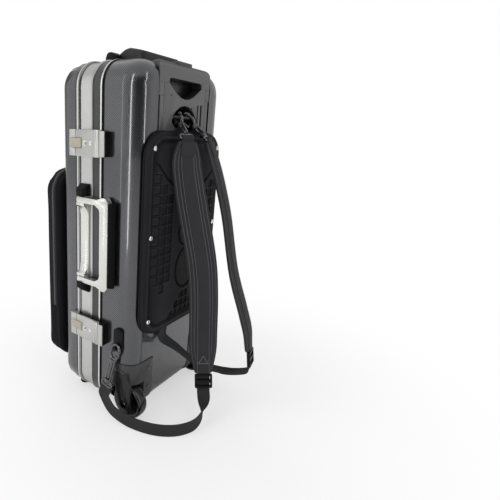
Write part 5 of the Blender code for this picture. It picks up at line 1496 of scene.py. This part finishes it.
CROWN = ((16, 0), (24, 5), (34, 10), (46, 11), (60, 8), (78, 4))
CROWN_LOW, CROWN_HIGH = 666.5, 677.5


def top_handle():
    """The top handle's soft bar, arched a little as it lies on the lid and the back."""
    bail = merged_copy("top_handle_bail")
    for depth in (18, 24, 31, 38, 45, 52, 58, 64, 70):  # rows that can bend
        enter(bail, "SELECT")
        bpy.ops.mesh.bisect(plane_co=at(0, depth, 0), plane_no=(0, 1, 0))
        leave()
    round_edges(bail, 2.2, 3)
    for vertex in bail.data.vertices:
        _, depth, height = in_case(vertex.co)
        share = max(0.0, height - CROWN_LOW) / (CROWN_HIGH - CROWN_LOW)
        vertex.co.z += float(np.interp(depth, *zip(*CROWN))) * share * MM
    return dress(bail, "handle", "top_handle", "rubber", "top_handle_bail", smooth=50)


def latch_cap(height, word):
    """The silver end of the latch's cover, on its black block."""
    cap = round_box("latch_cap_" + word, (143.6, 64.4, height - 21.4),
                    (146.2, 76.2, height + 21.4), 0.9, 3)
    return dress(cap, "silver", "case", "silver_parts")


ALONE, HEIGHTS, HANDS = ("",), ("_upper", "_lower"), ("_left", "_right")
# Node, its like ones, finish, slot and rounding
HARD_NODES = (
    ("latch_catch", HEIGHTS, "silver", "silver_parts", 0.8),
    ("latch_lever", HEIGHTS, "silver", "silver_parts", 0.6),
    ("latch_key", HEIGHTS, "key", "key_beige", 0.7),
    ("latch_block", HEIGHTS, "black", "black_plastic", 1.0),
    ("side_handle_bail", ALONE, "satin", "silver_parts", 1.6),
    ("side_handle_rubber", ALONE, "rubber", "rubber", 2.2),
    ("side_handle_plate", ALONE, "satin", "silver_parts", 0.6),
    ("side_handle_block", HEIGHTS, "black", "black_plastic", 1.6),
    ("top_handle_block", HANDS, "black", "black_plastic", 1.4),
    ("hinge_base_leaf", HEIGHTS, "bright", "bright_metal", 0.3),
    ("hinge_lid_leaf", HEIGHTS, "bright", "bright_metal", 0.3),
    ("strap_tab", ALONE, "black", "black_plastic", 0.7),
    ("wheel_housing", HANDS, "wheel_block", "grey_plastic", 1.0),
    ("front_foot", HANDS, "rubber", "rubber", 0.6),
    ("side_foot", HEIGHTS, "rubber", "rubber", 0.6),
    ("wheel_tyre", HANDS, "tyre", "rubber", 1.2),
    ("wheel_hub", HANDS, "black", "black_plastic", 0.7),
)
# Node, its like ones, finish and slot
SMOOTH_NODES = (
    ("lid_shell", ALONE, "carbon_lid", "shell"),
    ("base_shell", ALONE, "carbon_base", "shell"),
    ("lid_frame", ALONE, "lid_rail", "frame_metal"),
    ("base_frame", ALONE, "alloy", "frame_metal"),
    ("base_trim", ALONE, "trim", "bright_metal"),
    ("trolley_button", ALONE, "trolley", "grey_plastic"),
    ("trolley_tube_inner", HANDS, "tube", "tube"),
    ("trolley_tube_outer", HANDS, "black", "black_plastic"),
)


class CASE_OT_shells(bpy.types.Operator):
    """Carbon shells, frame rails, trim and trolley tubes in their finishes"""

    bl_idname = "case.shells"
    bl_label = "Shells and frame"

    def execute(self, context):
        for stem, words, surface, slot in SMOOTH_NODES:
            for word in words:
                smooth_node(stem + word, surface, slot)
        for word in HANDS:
            paint(frame["nodes"]["wheel_axle" + word], "gunmetal")
        return {"FINISHED"}


class CASE_OT_hardware(bpy.types.Operator):
    """Latches, handles, hinges, feet and plastic housings with softened edges"""

    bl_idname = "case.hardware"
    bl_label = "Hardware"

    def execute(self, context):
        for stem, words, surface, slot, width in HARD_NODES:
            for word in words:
                rounded_node(stem + word, surface, slot, width)
        for height, word in LATCHES:
            latch_details(height, word)
            latch_cap(height, word)
        trolley_grip()
        trolley_head()
        top_handle()
        screws = [disc("screw", (x, 140.3, height), "Y", 3.4, 1.4, 0.3, 0.5, 1.19, 24)
                  for x in (-79.0, 79.0) for height in (57.0, 98.0)]
        dress(joined("wheel_block_screws", screws), "gunmetal", "case", "gunmetal")
        return {"FINISHED"}


class CASE_OT_wheels(bpy.types.Operator):
    """Ribbed wheel faces"""

    bl_idname = "case.wheels"
    bl_label = "Wheels"

    def execute(self, context):
        for side, word in SIDES:
            wheel_spokes(side, word)
        return {"FINISHED"}


def wheel_cover(side, word):
    """The lined bump over a wheel's corner, low in the back shell's tray."""
    near, far = sorted((side * 59.5, side * 114.0))
    front, back, low, high = 89.3, 103.0, 33.0, 123.8
    cover = round_box("lining_cover_" + word, (near, front, low), (far, back, high), 0)
    arch = disc("arch", (side * 100.0, WHEEL_Y, WHEEL_Z), "X", 45.6, 28.0, 0, count=48)
    combine(arch, round_box("tool", (-150.0, back, -20.0), (150.0, 190.0, 100.0), 0))
    combine(arch, round_box("tool", (-150.0, 60.0, -20.0), (150.0, 190.0, low), 0))
    combine(cover, arch, "UNION")
    apply_modifier(cover, "REMESH", mode="VOXEL", voxel_size=COVER_VOXEL * MM)
    apply_modifier(cover, "SMOOTH", factor=0.5, iterations=8)
    return dress(cover, "plush", "case", "foam", smooth=80)


class CASE_OT_linings(bpy.types.Operator):
    """Plush linings with softened edges, and the covers over the wheel corners"""

    bl_idname = "case.linings"
    bl_label = "Linings"

    def execute(self, context):
        for node in ("lid_lining", "base_lining"):
            piece = rounded_node(node, "plush", "foam", 3.0, 3, 40)
        for side, word in SIDES:
            wheel_cover(side, word)
        return {"FINISHED"}


# Studio

CAMERA_AT = (649.8, 567.8, 541.6)
CAMERA_AIM, CAMERA_PITCH, CAMERA_ROLL = 127.73, 14.75, 2.27
FOCAL_PIXELS, MIDDLE_U, MIDDLE_V, IMAGE, SENSOR = 409.0, 148.29, 241.11, 500, 36
# Name, place, size and power of each lamp, in metres and watts
LAMPS = (("key", (1.8, -1.3, 2.0), 1.6, 22.0), ("fill", (-1.2, -2.2, 1.6), 1.8, 14.0),
         ("back", (0.2, 2.2, 1.8), 1.6, 8.0))
LAMP_AIM = (0, 0, 0.3)
FLOOR_SIZE, FLOOR_LEVEL = 16.0, -0.0004
# Name, angle, distance, width and strength of each tall light that shows in gloss
LIGHT_CARDS = (("strip_right", 5.0, 1.3, 0.13, 8.0), ("strip_back", 92.0, 1.3, 0.09, 10.0),
               ("strip_front", -35.0, 1.6, 0.08, 3.0))
CARD_TALL = 1.9
# Grey at each share of a turn round the case, as gloss sees it
SKY_BANDS = ((0.0, 0.60), (0.07, 0.20), (0.15, 0.22), (0.163, 0.70), (0.187, 0.65), (0.195, 0.12),
             (0.29, 0.20), (0.32, 0.95), (0.42, 1.0), (0.47, 0.60), (0.495, 0.06), (0.74, 0.03),
             (0.80, 0.30), (0.85, 0.75), (0.93, 0.70), (1.0, 0.60))


def camera_turn():
    """The camera's axes as a matrix, from where it looks."""
    aim, pitch, roll = radians(CAMERA_AIM), radians(CAMERA_PITCH), radians(CAMERA_ROLL)
    back = Vector((sin(aim) * cos(pitch), -cos(aim) * cos(pitch), sin(pitch)))
    right = (-back).cross(Vector((0, 0, 1))).normalized()
    up = right.cross(-back)
    turned = right * cos(roll) + up * sin(roll)
    up = -right * sin(roll) + up * cos(roll)
    return Matrix((turned, up, back)).transposed()


def floor_finish():
    """Pale matt floor that keeps the object's shadow and fades to plain white."""
    shade = Shade("studio_floor", (0.92, 0.92, 0.92), Roughness=0.9, Specular_IOR_Level=0.1)
    place = shade.add("ShaderNodeTexCoord", output="Object")
    reach = shade.add("ShaderNodeVectorMath", {"operation": "LENGTH"}, [place], 1)
    seen = shade.add("ShaderNodeLightPath", output="Is Camera Ray")
    matt = Signal(shade, shade.shader.outputs[0])
    share = (reach.smooth(0.2, 0.8) * 0.45 + 0.55) * seen
    shade.show(shade.add("ShaderNodeMixShader", None, [share, matt, shade.glow(1.0)]))
    return shade.material


def sky(scene):
    """White for the eye, soft studio bands in gloss, and plain pale light for the rest."""
    world = bpy.data.worlds.new("studio")
    world.use_nodes = True
    scene.world = world
    nodes = Nodes(world.node_tree)
    x, y, z = nodes.add("ShaderNodeTexCoord", output="Generated").split()
    turn = y.math("ARCTAN2", x) / (2 * pi) + 0.5
    bands = nodes.add("ShaderNodeValToRGB", {"stops": SKY_BANDS}, [turn])
    gloss = nodes.blend(z.smooth(0.45, 0.75), bands, (0.8, 0.8, 0.8))
    glossy, camera, through = [nodes.add("ShaderNodeLightPath", output="Is %s Ray" % kind)
                               for kind in ("Glossy", "Camera", "Transmission")]
    tone = nodes.blend(glossy, (0.74, 0.74, 0.74), gloss)
    tone = nodes.blend(camera.math("MAXIMUM", through), tone, (1.0, 1.0, 1.0))
    ground = world.node_tree.nodes["Background"]
    nodes.feed(ground.inputs["Color"], tone)
    ground.inputs["Strength"].default_value = 1.0


def lamp(name, place, size, power):
    """A soft square light that looks at the case."""
    light = bpy.data.lights.new(name, "AREA")
    light.shape = "SQUARE"
    light.size = size
    light.energy = power
    item = linked(name, light)
    item.location = place
    item.rotation_euler = (Vector(LAMP_AIM) - Vector(place)).to_track_quat("-Z", "Y").to_euler()
    item.visible_glossy = False


def light_card(name, angle, distance, width, strength):
    """A tall narrow light that shows only as a line in gloss."""
    angle = radians(angle)
    card = primitive(bpy.ops.mesh.primitive_plane_add, name, size=1.0,
                     rotation=(pi / 2, 0, angle + pi / 2))
    card.scale = (width, CARD_TALL, 1.0)
    card.location = (distance * cos(angle), distance * sin(angle), CARD_TALL / 2 + 0.01)
    settle(card)
    shade = Shade(name + "_light", (1.0, 1.0, 1.0))
    shade.show(shade.glow(strength))
    card.data.materials.append(shade.material)
    for kind in ("camera", "diffuse", "transmission", "volume_scatter", "shadow"):
        setattr(card, "visible_" + kind, False)


class CASE_OT_stage(bpy.types.Operator):
    """Pale floor, soft lights, white surroundings and the camera"""

    bl_idname = "case.stage"
    bl_label = "Studio"

    def execute(self, context):
        scene = context.scene
        scene.view_settings.view_transform = "Standard"
        floor = primitive(bpy.ops.mesh.primitive_plane_add, "studio_floor", size=FLOOR_SIZE,
                          location=(0, 0, FLOOR_LEVEL))
        floor.data.materials.append(floor_finish())
        sky(scene)
        for settings in LAMPS:
            lamp(*settings)
        for settings in LIGHT_CARDS:
            light_card(*settings)
        camera = bpy.data.cameras.new("camera")
        camera.lens = FOCAL_PIXELS / IMAGE * SENSOR
        camera.shift_x = (IMAGE / 2 - MIDDLE_U) / IMAGE
        camera.shift_y = (MIDDLE_V - IMAGE / 2) / IMAGE
        camera.dof.use_dof = False
        item = linked("camera", camera)
        item.matrix_world = Matrix.Translation(at(*CAMERA_AT)) @ camera_turn().to_4x4()
        scene.camera = item
        return {"FINISHED"}


class CASE_PT_panel(bpy.types.Panel):
    """The steps that build the case's looks."""

    bl_idname = "CASE_PT_panel"
    bl_label = "Saxophone Case"
    bl_space_type = "VIEW_3D"
    bl_region_type = "UI"
    bl_category = "Case"

    def draw(self, context):
        for step in STEPS:
            self.layout.operator(step.bl_idname)
        for group in (context.scene.case_colours, context.scene.case_sizes):
            box = self.layout.box()
            for setting in group.__annotations__:
                box.prop(group, setting)


STEPS = (CASE_OT_stage, CASE_OT_shells, CASE_OT_hardware, CASE_OT_wheels, CASE_OT_pocket,
         CASE_OT_back_pad, CASE_OT_straps, CASE_OT_linings)
CLASSES = (CaseColours, CaseSizes) + STEPS + (CASE_PT_panel,)


def register():
    """Make the settings, the steps and the panel known to Blender."""
    for item in CLASSES:
        bpy.utils.register_class(item)
    bpy.types.Scene.case_colours = bpy.props.PointerProperty(type=CaseColours)
    bpy.types.Scene.case_sizes = bpy.props.PointerProperty(type=CaseSizes)


def unregister():
    """Take the settings, the steps and the panel away again."""
    del bpy.types.Scene.case_colours
    del bpy.types.Scene.case_sizes
    for item in reversed(CLASSES):
        bpy.utils.unregister_class(item)


def main():
    """Build every piece in order."""
    register()
    bpy.ops.case.stage()
    bpy.ops.case.shells()
    bpy.ops.case.hardware()
    bpy.ops.case.wheels()
    bpy.ops.case.pocket()
    bpy.ops.case.back_pad()
    bpy.ops.case.straps()
    bpy.ops.case.linings()


if __name__ == "__main__":
    main()
